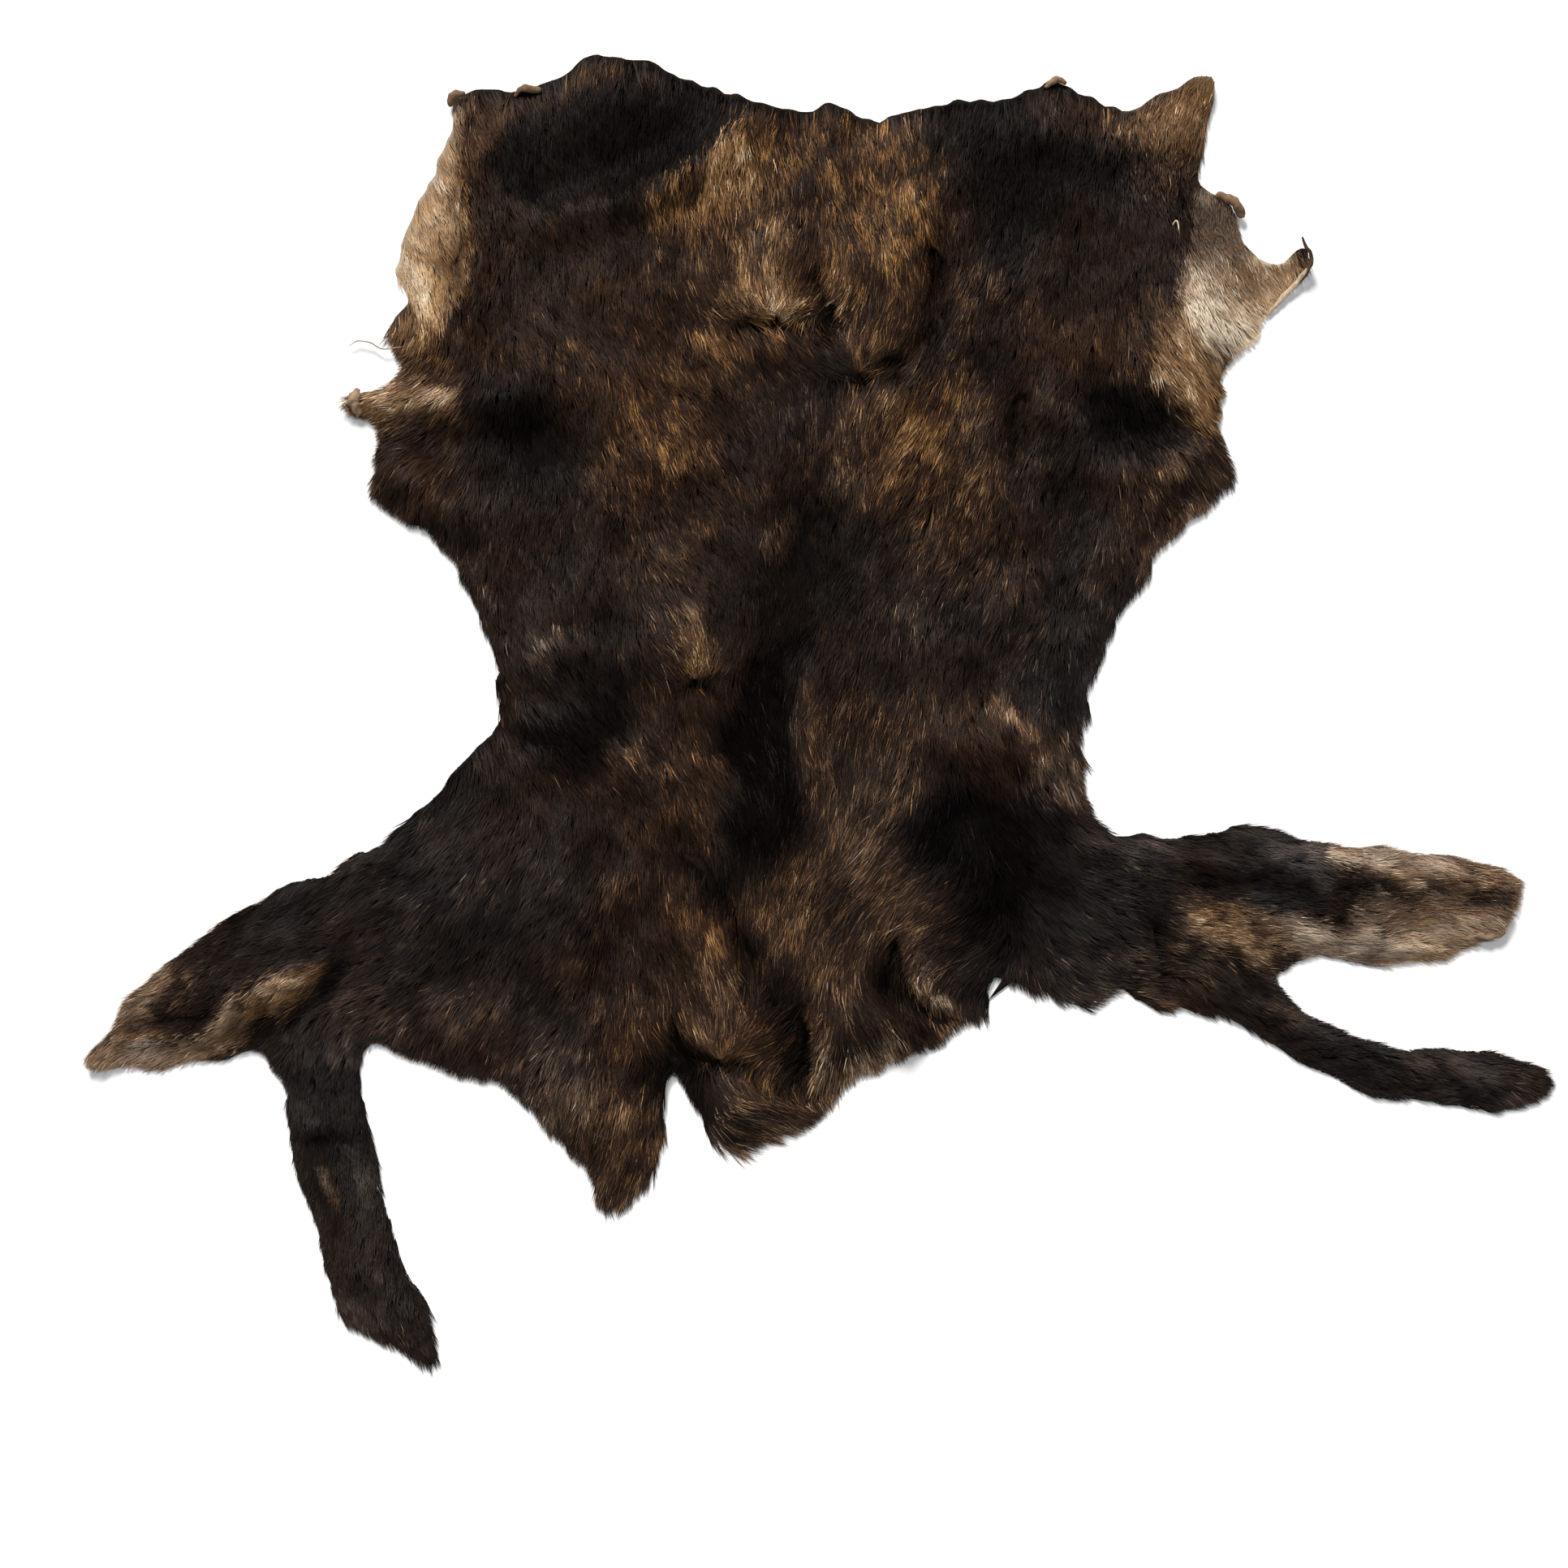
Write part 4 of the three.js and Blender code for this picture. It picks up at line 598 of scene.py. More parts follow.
class SkinSettings(bpy.types.PropertyGroup):
    """Sizes and colours of the tanned skin."""

    thickness: FloatProperty(
        name="Thickness", description="Thickness of the tanned skin",
        default=0.003, min=0.001, max=0.006, subtype="DISTANCE", unit="LENGTH")
    depth: FloatProperty(
        name="Depth", description="How far the skin lies under the outside of the coat",
        default=0.016, min=0.004, max=0.030, subtype="DISTANCE", unit="LENGTH")
    flesh: FloatVectorProperty(
        name="Flesh side", description="Colour of the tanned flesh side",
        default=(0.52, 0.40, 0.28), min=0, max=1, size=3, subtype="COLOR")
    stain: FloatVectorProperty(
        name="Stain", description="Colour of the darker stains on the flesh side",
        default=(0.33, 0.22, 0.13), min=0, max=1, size=3, subtype="COLOR")


class CoatSettings(bpy.types.PropertyGroup):
    """Sizes and colours of the hair."""

    spacing: FloatProperty(
        name="Spacing", description="Distance between two drawn hairs of the trunk",
        default=0.0032, min=0.002, max=0.02, subtype="DISTANCE", unit="LENGTH")
    leg_spacing: FloatProperty(
        name="Leg spacing", description="Distance between two drawn hairs of the legs",
        default=0.0022, min=0.001, max=0.02, subtype="DISTANCE", unit="LENGTH")
    long_spacing: FloatProperty(
        name="Long spacing", description="Distance between two drawn long hairs where they grow thickest",
        default=0.0050, min=0.002, max=0.02, subtype="DISTANCE", unit="LENGTH")
    width: FloatProperty(
        name="Width", description="Width of a drawn hair at its root",
        default=0.0016, min=0.0005, max=0.006, subtype="DISTANCE", unit="LENGTH")
    length: FloatProperty(
        name="Length", description="Length of the hair where the table names no other",
        default=0.042, min=0.01, max=0.15, subtype="DISTANCE", unit="LENGTH")
    root_depth: FloatProperty(
        name="Root depth", description="How deep under the outside of the coat a hair starts",
        default=0.010, min=0.001, max=0.03, subtype="DISTANCE", unit="LENGTH")
    tuft_spacing: FloatProperty(
        name="Tuft spacing", description="Distance between two tufts that the hair clings together in",
        default=0.019, min=0.005, max=0.1, subtype="DISTANCE", unit="LENGTH")
    tuft_pull: FloatProperty(
        name="Tuft pull", description="Share by which the tips of a tuft draw together",
        default=0.38, min=0, max=1, subtype="FACTOR")
    lift: FloatProperty(
        name="Lift", description="How far a tip may stand out of the coat",
        default=0.004, min=0, max=0.008, subtype="DISTANCE", unit="LENGTH")
    cool_dark: FloatVectorProperty(
        name="Black", description="The darkest grey hair",
        default=(0.0024, 0.0022, 0.0023), min=0, max=1, size=3, subtype="COLOR")
    cool_middle: FloatVectorProperty(
        name="Grey", description="Half-dark grey hair",
        default=(0.100, 0.083, 0.076), min=0, max=1, size=3, subtype="COLOR")
    cool_pale: FloatVectorProperty(
        name="White", description="The palest grey hair",
        default=(0.75, 0.69, 0.60), min=0, max=1, size=3, subtype="COLOR")
    warm_dark: FloatVectorProperty(
        name="Brown-black", description="The darkest brown hair",
        default=(0.0040, 0.0024, 0.0016), min=0, max=1, size=3, subtype="COLOR")
    warm_brown: FloatVectorProperty(
        name="Brown", description="Dark brown hair",
        default=(0.046, 0.0215, 0.0115), min=0, max=1, size=3, subtype="COLOR")
    warm_middle: FloatVectorProperty(
        name="Tan", description="Half-dark brown hair",
        default=(0.195, 0.090, 0.026), min=0, max=1, size=3, subtype="COLOR")
    warm_gold: FloatVectorProperty(
        name="Gold", description="Brown hair between tan and cream",
        default=(0.42, 0.225, 0.075), min=0, max=1, size=3, subtype="COLOR")
    warm_pale: FloatVectorProperty(
        name="Cream", description="The palest brown hair",
        default=(0.82, 0.64, 0.43), min=0, max=1, size=3, subtype="COLOR")


class StageSettings(bpy.types.PropertyGroup):
    """The floor, the light and the camera."""

    floor_size: FloatProperty(
        name="Floor", description="Side of the square floor",
        default=24.0, min=4, max=100, subtype="DISTANCE", unit="LENGTH")
    floor_colour: FloatVectorProperty(
        name="Floor colour", description="Colour of the plain floor",
        default=(0.86, 0.86, 0.86), min=0, max=1, size=3, subtype="COLOR")
    view_height: FloatProperty(
        name="View height", description="Height of the camera over the floor",
        default=6.0, min=1, max=30, subtype="DISTANCE", unit="LENGTH")
    view_width: FloatProperty(
        name="View width", description="Width of the floor that the picture shows",
        default=2.898, min=0.5, max=10, subtype="DISTANCE", unit="LENGTH")
    view_centre: FloatVectorProperty(
        name="View centre", description="Place on the floor under the camera",
        default=(-0.065, -0.1245), size=2, subtype="XYZ", unit="LENGTH")
    key_power: FloatProperty(
        name="Key light", description="Strength of the soft light from the neck's side",
        default=6.0, min=0, max=50)
    softness: FloatProperty(
        name="Softness", description="Angle that the key light seems to fill",
        default=math.radians(16), min=0, max=math.pi, subtype="ANGLE", unit="ROTATION")
    fill_power: FloatProperty(
        name="Fill light", description="Strength of the soft light from the tail's side",
        default=0.7, min=0, max=50)
    sky: FloatProperty(
        name="Sky", description="Strength of the even light from all sides",
        default=0.32, min=0, max=5)


class HideSettings(bpy.types.PropertyGroup):
    """All settings of the hide."""

    skin: PointerProperty(type=SkinSettings)
    coat: PointerProperty(type=CoatSettings)
    stage: PointerProperty(type=StageSettings)


def smooth(share):
    """A soft step from 0 to 1."""
    share = np.clip(share, 0, 1)
    return share * share * (3 - 2 * share)


def waves(x, y, length, seed):
    """Soft seeded unevenness from -1 to 1 whose bumps are about length across."""
    lattice = np.random.default_rng(seed).uniform(-1, 1, (WAVE_CELLS, WAVE_CELLS))
    u, v = x / length + 100.5, y / length + 100.5
    column, row = np.floor(u).astype(int), np.floor(v).astype(int)
    s, t = smooth(u - column), smooth(v - row)
    near, far = column % WAVE_CELLS, (column + 1) % WAVE_CELLS
    low, high = row % WAVE_CELLS, (row + 1) % WAVE_CELLS
    bottom = lattice[low, near] * (1 - s) + lattice[low, far] * s
    top = lattice[high, near] * (1 - s) + lattice[high, far] * s
    return bottom * (1 - t) + top * t


def soften(field, times):
    """The field with each cell drawn towards its neighbours."""
    for _ in range(times):
        padded = np.pad(field, 1, mode="edge")
        field = (padded[1:-1, 1:-1] * 2 + padded[:-2, 1:-1] + padded[2:, 1:-1]
                 + padded[1:-1, :-2] + padded[1:-1, 2:]) / 6
    return field


def depth_inside(inside):
    """Distance of each inner cell to the nearest outer one, in cells."""
    rows, columns = inside.shape
    far = float(rows + columns)
    above = np.full(inside.shape, far)
    below = np.full(inside.shape, far)
    run = np.full(columns, far)
    for row in range(rows):
        run = np.where(inside[row], run + 1, 0)
        above[row] = run
    run = np.full(columns, far)
    for row in range(rows - 1, -1, -1):
        run = np.where(inside[row], run + 1, 0)
        below[row] = run
    column_gap = np.minimum(np.minimum(above, below), far) ** 2
    place = np.arange(columns)
    step = (place[:, None] - place[None, :]) ** 2
    return np.sqrt(np.array([(column_gap[row][None, :] + step).min(1) for row in range(rows)]))


class Lie:
    """How the hide lies in plan: the coat's height, the distance inside the rim and the way out to it."""

    def __init__(self, solid):
        corners = np.array([v.co for v in solid.data.vertices])
        low, high = corners.min(0), corners.max(0)
        self.left, self.front = low[0] - GRID_MARGIN, low[1] - GRID_MARGIN
        columns = int((high[0] - low[0] + 2 * GRID_MARGIN) / GRID_STEP) + 1
        rows = int((high[1] - low[1] + 2 * GRID_MARGIN) / GRID_STEP) + 1
        self.x, self.y = np.meshgrid(
            self.left + GRID_STEP * np.arange(columns), self.front + GRID_STEP * np.arange(rows))
        tree = BVHTree.FromPolygons(
            [v.co for v in solid.data.vertices], [p.vertices for p in solid.data.polygons])
        down = Vector((0, 0, -1))
        height = np.full(self.x.shape, np.nan)
        for row in range(rows):
            for column in range(columns):
                above = Vector((self.x[row, column], self.y[row, column], RAY_START))
                place = tree.ray_cast(above, down)[0]
                if place is not None:
                    height[row, column] = place.z
        self.inside = ~np.isnan(height)
        core = depth_inside(self.inside) * GRID_STEP > LOCK_HALF_WIDTH
        skin = depth_inside(~core) * GRID_STEP < LOCK_HALF_WIDTH
        gap = soften((depth_inside(skin) - depth_inside(~skin)) * GRID_STEP, 3)
        even = np.zeros_like(gap)
        for row in EVEN_RIMS:
            even = np.maximum(even, nearness(self.x, self.y, row, 0.8))
        self.gap = gap + even * (soften(gap, 24) + 0.009 - gap)
        plain = self.spread(np.where(self.inside, height, 0))
        self.groove = relief_at(self.x, self.y, grooves_only=True)
        self.relief = smooth(self.gap / 0.03) * relief_at(self.x, self.y)
        swell = 0.008 * smooth(self.gap / 0.10)
        self.height = np.clip(plain + swell + self.relief, 0.004, TALLEST)
        self.slope_y, self.slope_x = np.gradient(soften(self.height, 1), GRID_STEP)
        fall_y, fall_x = np.gradient(soften(self.gap, 6), GRID_STEP)
        steep = np.hypot(fall_x, fall_y) + 1e-6
        self.out_x, self.out_y = -fall_x / steep, -fall_y / steep

    def spread(self, height):
        """The height smoothed inside the rim and carried a little way over it."""
        weight = self.inside.astype(float)
        total = soften(height * weight, 3)
        share = soften(weight, 3)
        filled = np.where(share > 0.02, total / np.maximum(share, 0.02), 0)
        known = share > 0.02
        for _ in range(14):
            total = soften(np.where(known, filled, 0), 1)
            share = soften(known.astype(float), 1)
            grown = share > 0.01
            filled = np.where(known, filled, np.where(grown, total / np.maximum(share, 0.01), 0))
            known = known | grown
        return filled

    def read(self, field, x, y):
        """A field's value at places in plan."""
        column = np.clip((x - self.left) / GRID_STEP, 0, field.shape[1] - 1.001)
        row = np.clip((y - self.front) / GRID_STEP, 0, field.shape[0] - 1.001)
        c, r = column.astype(int), row.astype(int)
        s, t = column - c, row - r
        bottom = field[r, c] * (1 - s) + field[r, c + 1] * s
        top = field[r + 1, c] * (1 - s) + field[r + 1, c + 1] * s
        return bottom * (1 - t) + top * t


def relief_at(x, y, grooves_only=False):
    """How far soft unevenness and the folds, or only the narrow grooves, raise the coat in plan."""
    total = (0.0060 * waves(x, y, 0.110, SEED + 10) + 0.0042 * waves(x, y, 0.055, SEED + 8)
             + 0.0016 * waves(x, y, 0.026, SEED + 9))
    x = x + 0.016 * waves(x, y, 0.070, SEED + 12) + 0.006 * waves(x, y, 0.025, SEED + 13)
    y = y + 0.016 * waves(x, y, 0.070, SEED + 14) + 0.006 * waves(x, y, 0.025, SEED + 15)
    for _, x0, y0, x1, y1, left, right, rise in FOLDS:
        if grooves_only and (rise > 0 or max(left, right) > GROOVE_REACH):
            continue
        run_x, run_y = x1 - x0, y1 - y0
        size = math.hypot(run_x, run_y)
        share = ((x - x0) * run_x + (y - y0) * run_y) / size ** 2
        held = np.clip(share, 0, 1)
        away_x, away_y = x - x0 - held * run_x, y - y0 - held * run_y
        side = run_x * away_y - run_y * away_x
        wide = np.where(side > 0, left, right)
        total = total + FOLD_STRENGTH * rise * np.exp(-(away_x ** 2 + away_y ** 2) / wide ** 2)
    return total


def nearness(x, y, row, tightness=0.6):
    """Weight of a table's row at places in plan, 1 at its own place."""
    gap = (x - row[1]) ** 2 + (y - row[2]) ** 2
    return np.exp(-0.5 * gap / (tightness * row[3]) ** 2)


def comb_at(x, y):
    """Which way the hair lies at places in plan, as two parts of a unit vector."""
    along_x, along_y = np.zeros_like(x), np.full_like(y, -0.02)
    for row in COMB:
        weight = nearness(x, y, row, 0.75)
        along_x += weight * math.cos(math.radians(row[4]))
        along_y += weight * math.sin(math.radians(row[4]))
    for row in WHORLS:
        weight = nearness(x, y, row, 0.75) * row[4] * smooth((y - row[2] + 0.006) / 0.020)
        to_x, to_y = row[1] - x, row[2] - y
        far = np.hypot(to_x, to_y) + 0.004
        along_x += weight * to_x / far
        along_y += weight * to_y / far
    size = np.hypot(along_x, along_y) + 1e-9
    return along_x / size, along_y / size


def length_at(x, y, plain):
    """How long the hair is at places in plan."""
    total, share = np.full_like(x, 0.15 * plain), np.full_like(x, 0.15)
    for row in HAIR_LENGTHS:
        weight = nearness(x, y, row)
        total += weight * row[4]
        share += weight
    total = total / share
    for *_, long, softness, outline in ZONES:
        if long:
            total = total + zone_share(x, y, softness, outline) * (long - total)
    return total


def fringe_at(x, y):
    """How far the hair reaches over the rim at places in plan."""
    reach = np.full_like(x, PLAIN_FRINGE)
    for row in FRINGES:
        reach = np.maximum(reach, row[4] * nearness(x, y, row, 0.8))
    return reach


def zone_share(x, y, softness, outline):
    """How far places in plan are in a zone: 0 outside, 1 inside, and between at its soft edge."""
    low, high = np.min(outline, axis=0) - softness, np.max(outline, axis=0) + softness
    near = (x > low[0]) & (x < high[0]) & (y > low[1]) & (y < high[1])
    spot_x, spot_y = x[near], y[near]
    inside, gap = np.zeros(spot_x.shape, bool), np.full(spot_x.shape, 1.0)
    for (x0, y0), (x1, y1) in zip(outline, (*outline[1:], outline[0])):
        run_x, run_y = x1 - x0, y1 - y0
        if run_y:
            inside ^= ((y0 > spot_y) != (y1 > spot_y)) & (spot_x < x0 + run_x * (spot_y - y0) / run_y)
        held = np.clip(((spot_x - x0) * run_x + (spot_y - y0) * run_y) / (run_x ** 2 + run_y ** 2), 0, 1)
        gap = np.minimum(gap, np.hypot(spot_x - x0 - held * run_x, spot_y - y0 - held * run_y))
    share = np.zeros_like(x)
    share[near] = smooth(0.5 + np.where(inside, gap, -gap) / (2 * softness))
    return share


def coat_at(x, y):
    """Tone, warmth and share of pale hairs at places in plan."""
    place_x = x + 0.030 * waves(x, y, 0.090, SEED) + 0.016 * waves(x, y, 0.034, SEED + 1)
    place_y = y + 0.036 * waves(x, y, 0.090, SEED + 2) + 0.022 * waves(x, y, 0.034, SEED + 3)
    share = np.full_like(x, COAT_HOLD)
    tone, warmth, pale = (share * value for value in PLAIN_COAT)
    for row in COAT:
        weight = nearness(place_x, place_y, row) * min(3.0, (0.09 / row[3]) ** 2)
        share = share + weight
        tone = tone + weight * row[4]
        warmth = warmth + weight * row[5]
        pale = pale + weight * row[6]
    tone, warmth, pale = tone / share, warmth / share, pale / share
    place_x, place_y = x + 0.25 * (place_x - x), y + 0.25 * (place_y - y)
    for _, zone_tone, zone_warmth, zone_pale, _, softness, outline in ZONES:
        share = zone_share(place_x, place_y, softness, outline)
        tone = tone + share * (zone_tone - tone)
        warmth = warmth + share * (zone_warmth - warmth)
        pale = pale + share * (zone_pale - pale)
    return tone, warmth, pale


def new_piece(name, corners, faces_of_three, faces_of_four, material):
    """A mesh object at the origin, made from arrays of corners and faces."""
    mesh = bpy.data.meshes.new(name)
    loops = np.concatenate([faces_of_four.ravel(), faces_of_three.ravel()]).astype(np.int32)
    sizes = np.concatenate([np.full(len(faces_of_four), 4), np.full(len(faces_of_three), 3)])
    starts = np.concatenate([[0], np.cumsum(sizes)[:-1]]).astype(np.int32)
    mesh.vertices.add(len(corners))
    mesh.vertices.foreach_set("co", corners.astype(np.float32).ravel())
    mesh.loops.add(len(loops))
    mesh.loops.foreach_set("vertex_index", loops)
    mesh.polygons.add(len(sizes))
    mesh.polygons.foreach_set("loop_start", starts)
    mesh.update(calc_edges=True)
    mesh.validate()
    mesh.shade_smooth()
    mesh.materials.append(material)
    piece = bpy.data.objects.new(name, mesh)
    bpy.context.scene.collection.objects.link(piece)
    return piece


def wear(piece):
    """Makes a piece move with the hide."""
    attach(piece, BODY)


KEPT = {}


def lie_of_hide():
    """The hide's lie, worked out once and kept."""
    if "lie" not in KEPT:
        KEPT["lie"] = Lie(SOLID)
    return KEPT["lie"]


def link(tree, start, end):
    """Joins two sockets of a node tree."""
    tree.links.new(start, end)


def node(tree, kind, **values):
    """A new node with its settings and its unlinked inputs filled in."""
    made = tree.nodes.new(kind)
    for name, value in values.items():
        if isinstance(value, dict):
            for socket, given in value.items():
                made.inputs[socket].default_value = given
        else:
            setattr(made, name, value)
    return made


def math_node(tree, operation, first, second=None):
    """A Math node fed by sockets or numbers; gives its output."""
    made = node(tree, "ShaderNodeMath", operation=operation)
    for place, value in enumerate((first, second)):
        if isinstance(value, bpy.types.NodeSocket):
            link(tree, value, made.inputs[place])
        elif value is not None:
            made.inputs[place].default_value = value
    return made.outputs[0]


def mix_node(tree, blend, share, first, second):
    """A colour Mix node fed by sockets, its share a socket or a number; gives its output."""
    made = node(tree, "ShaderNodeMix", data_type="RGBA", blend_type=blend)
    if isinstance(share, bpy.types.NodeSocket):
        link(tree, share, made.inputs[0])
    else:
        made.inputs[0].default_value = share
    link(tree, first, made.inputs[6])
    link(tree, second, made.inputs[7])
    return made.outputs[2]


def fill_ramp(ramp, stops):
    """Sets a colour ramp's stops, given as (place, colour)."""
    while len(ramp.elements) > 1:
        ramp.elements.remove(ramp.elements[0])
    ramp.elements[0].position = stops[0][0]
    ramp.elements[0].color = (*stops[0][1], 1)
    for place, colour in stops[1:]:
        ramp.elements.new(place).color = (*colour, 1)


def between(first, second, share):
    """A colour part of the way from one to another."""
    return tuple(a * (1 - share) + b * share for a, b in zip(first, second))


def new_material(name):
    """A new material, its node tree and its shader."""
    material = bpy.data.materials.new(name)
    material.use_nodes = True
    return material, material.node_tree, material.node_tree.nodes["Principled BSDF"]


def noise(tree, scale, detail, roughness):
    """Noise in the piece's own coordinates; gives its output."""
    place = node(tree, "ShaderNodeTexCoord")
    inputs = {"Scale": scale, "Detail": detail, "Roughness": roughness}
    made = node(tree, "ShaderNodeTexNoise", inputs=inputs)
    link(tree, place.outputs["Object"], made.inputs["Vector"])
    return made.outputs["Fac"]


def uneven(tree, value, unevenness, share):
    """A value shifted up and down by a share of some noise; gives its output."""
    shift = math_node(tree, "MULTIPLY", math_node(tree, "SUBTRACT", unevenness, 0.5), share)
    return math_node(tree, "ADD", value, shift)


def ramp_of(tree, value, stops):
    """A colour ramp read at a value, its stops given as (place, colour); gives its colour."""
    made = node(tree, "ShaderNodeValToRGB")
    fill_ramp(made.color_ramp, stops)
    link(tree, value, made.inputs[0])
    return made.outputs[0]


def range_of(tree, value, limits):
    """A value carried over from one range to another; gives its output."""
    made = node(tree, "ShaderNodeMapRange", inputs=limits)
    link(tree, value, made.inputs["Value"])
    return made.outputs[0]


def add_bump(tree, shader, height, strength, distance):
    """Roughens a shader's surface by a height."""
    bump = node(tree, "ShaderNodeBump", inputs={"Strength": strength, "Distance": distance})
    link(tree, height, bump.inputs["Height"])
    link(tree, bump.outputs[0], shader.inputs["Normal"])


def hair_material(coat):
    """Hair whose tint comes from the column of its map, darker towards the root, partly as the hair's own
    dark base and partly as painted shade deep in the coat.
    """
    if "guard_hair" in bpy.data.materials:
        return bpy.data.materials["guard_hair"]
    material, tree, shader = new_material("guard_hair")
    place = node(tree, "ShaderNodeUVMap", uv_map=HAIR_MAP)
    parts = node(tree, "ShaderNodeSeparateXYZ")
    link(tree, place.outputs[0], parts.inputs[0])
    column = math_node(tree, "FLOOR", math_node(tree, "MULTIPLY", parts.outputs[0], TONES * WARMTHS))
    tone = math_node(tree, "DIVIDE", math_node(tree, "MODULO", column, TONES), TONES - 1)
    warmth = math_node(
        tree, "DIVIDE", math_node(tree, "FLOOR", math_node(tree, "DIVIDE", column, TONES)), WARMTHS - 1)
    cool = ramp_of(tree, tone, (
        (0.0, coat.cool_dark), (0.25, between(coat.cool_dark, coat.cool_middle, 0.22)),
        (0.5, coat.cool_middle), (0.75, between(coat.cool_middle, coat.cool_pale, 0.42)),
        (1.0, coat.cool_pale)))
    warm = ramp_of(tree, tone, (
        (0.0, coat.warm_dark), (0.25, coat.warm_brown),
        (0.5, coat.warm_middle), (0.75, coat.warm_gold), (1.0, coat.warm_pale)))
    tint = mix_node(tree, "MIX", warmth, cool, warm)
    # darker towards the root: partly the hair's own dark base, partly painted shade deep in the coat; pale
    # hair takes less of it
    shade = ramp_of(tree, parts.outputs[1], (
        (0.0, (0.10,) * 3), (0.35, (0.30,) * 3), (0.65, (0.90,) * 3), (1.0, (1.0,) * 3)))
    root_shade_share = range_of(tree, tone, {"From Min": 0.30, "From Max": 0.62, "To Min": 1.0, "To Max": 0.35})
    link(tree, mix_node(tree, "MULTIPLY", root_shade_share, tint, shade), shader.inputs["Base Color"])
    gloss = range_of(tree, tone, {"To Min": 0.46, "To Max": 0.66})
    link(tree, gloss, shader.inputs["Roughness"])
    sheen = range_of(tree, tone, {"From Max": 0.10, "To Min": 0.006, "To Max": 0.032})
    shine = math_node(tree, "ADD", sheen, math_node(tree, "MULTIPLY", tone, 0.11))
    link(tree, shine, shader.inputs["Specular IOR Level"])
    return material


def hairs(name, roots, bends, heights, slopes, widths, tints, material, bent):
    """One mesh of tapered hairs, each bent in the middle or one straight triangle.

    bends holds the plan places of each hair's middle and tip, heights those of its root, middle and tip,
    slopes the two slopes of the coat that it lies on and tints the column of its colour.
    """
    count = len(roots)
    middles, tips = bends
    chance = np.random.default_rng(SEED + len(name) + count)
    along = tips - roots
    along /= np.linalg.norm(along, axis=1, keepdims=True) + 1e-9
    roll = chance.normal(0, 0.30, count)
    tilt = -along[:, 1] * slopes[0] + along[:, 0] * slopes[1]
    side = np.stack([-along[:, 1], along[:, 0], tilt], axis=1) * np.cos(roll)[:, None]
    side[:, 2] += np.sin(roll)
    half = side * widths[:, None] / 2
    root = np.column_stack([roots, heights[0]])
    middle = np.column_stack([middles, heights[1]])
    tip = np.column_stack([tips, heights[2]])
    corners = np.stack(
        [root - half, root + half, middle - 0.85 * half, middle + 0.85 * half, tip], axis=1)
    corners[:, :, 2] = np.maximum(corners[:, :, 2], LOWEST)
    rise = np.array([0.0, 0.0, 0.55, 0.55, 1.0])
    swing = np.array([-1.0, 1.0, -1.0, 1.0, 0.0])
    fours, threes = np.array([[0, 1, 3, 2]]), np.array([[2, 3, 4]])
    if not bent:
        corners, rise, swing = corners[:, [0, 1, 4]], rise[[0, 1, 4]], swing[[0, 1, 4]]
        fours, threes = np.zeros((0, 4), int), np.array([[0, 1, 2]])
    first = len(rise) * np.arange(count)
    fours = (first[:, None, None] + fours).reshape(-1, 4)
    threes = (first[:, None, None] + threes).reshape(-1, 3)
    piece = new_piece(name, corners.reshape(-1, 3), threes, fours, material)
    lay_tints(piece, tints, rise, swing)
    return piece


def lay_tints(piece, tints, rise, swing):
    """Lays each hair on its tint's column of the map; rise and swing are its corners' places there."""
    corner = np.zeros(len(piece.data.loops), np.int32)
    piece.data.loops.foreach_get("vertex_index", corner)
    hair, spot = corner // len(rise), corner % len(rise)
    across = (tints[hair] + 0.5 + 0.3 * swing[spot]) / (TONES * WARMTHS)
    spots = np.column_stack([across, 0.02 + 0.96 * rise[spot]]).astype(np.float32)
    layer = piece.data.uv_layers.new(name=HAIR_MAP)
    layer.data.foreach_set("uv", spots.ravel())


def scatter(lie, spacing, seed, least_gap):
    """Seeded places all over the hide, about spacing apart and at least least_gap inside its rim."""
    chance = np.random.default_rng(seed)
    low_x, low_y = lie.left, lie.front
    columns = int((lie.x.max() - low_x) / spacing)
    rows = int((lie.y.max() - low_y) / spacing)
    across, up = np.meshgrid(np.arange(columns), np.arange(rows))
    x = low_x + (across.ravel() + chance.uniform(0, 1, across.size)) * spacing
    y = low_y + (up.ravel() + chance.uniform(0, 1, up.size)) * spacing
    keep = lie.read(lie.gap, x, y) > least_gap
    return x[keep], y[keep]


def tufts_of(x, y, spacing, seed):
    """The tuft that each place belongs to: its number in a seeded table and its middle."""
    chance = np.random.default_rng(seed)
    shift = chance.uniform(-0.45, 0.45, (2, TUFT_CELLS, TUFT_CELLS))
    column = np.floor(x / spacing).astype(int)
    row = np.floor(y / spacing).astype(int)
    best = np.full(x.shape, 1e9)
    middle_x, middle_y = np.zeros_like(x), np.zeros_like(y)
    number = np.zeros(x.shape, int)
    for step_x in (-1, 0, 1):
        for step_y in (-1, 0, 1):
            c, r = column + step_x, row + step_y
            cell_r, cell_c = r % TUFT_CELLS, c % TUFT_CELLS
            spot_x = (c + 0.5 + shift[0, cell_r, cell_c]) * spacing
            spot_y = (r + 0.5 + shift[1, cell_r, cell_c]) * spacing
            gap = (x - spot_x) ** 2 + (y - spot_y) ** 2
            nearer = gap < best
            best = np.where(nearer, gap, best)
            middle_x = np.where(nearer, spot_x, middle_x)
            middle_y = np.where(nearer, spot_y, middle_y)
            number = np.where(nearer, cell_r * TUFT_CELLS + cell_c, number)
    return number, middle_x, middle_y


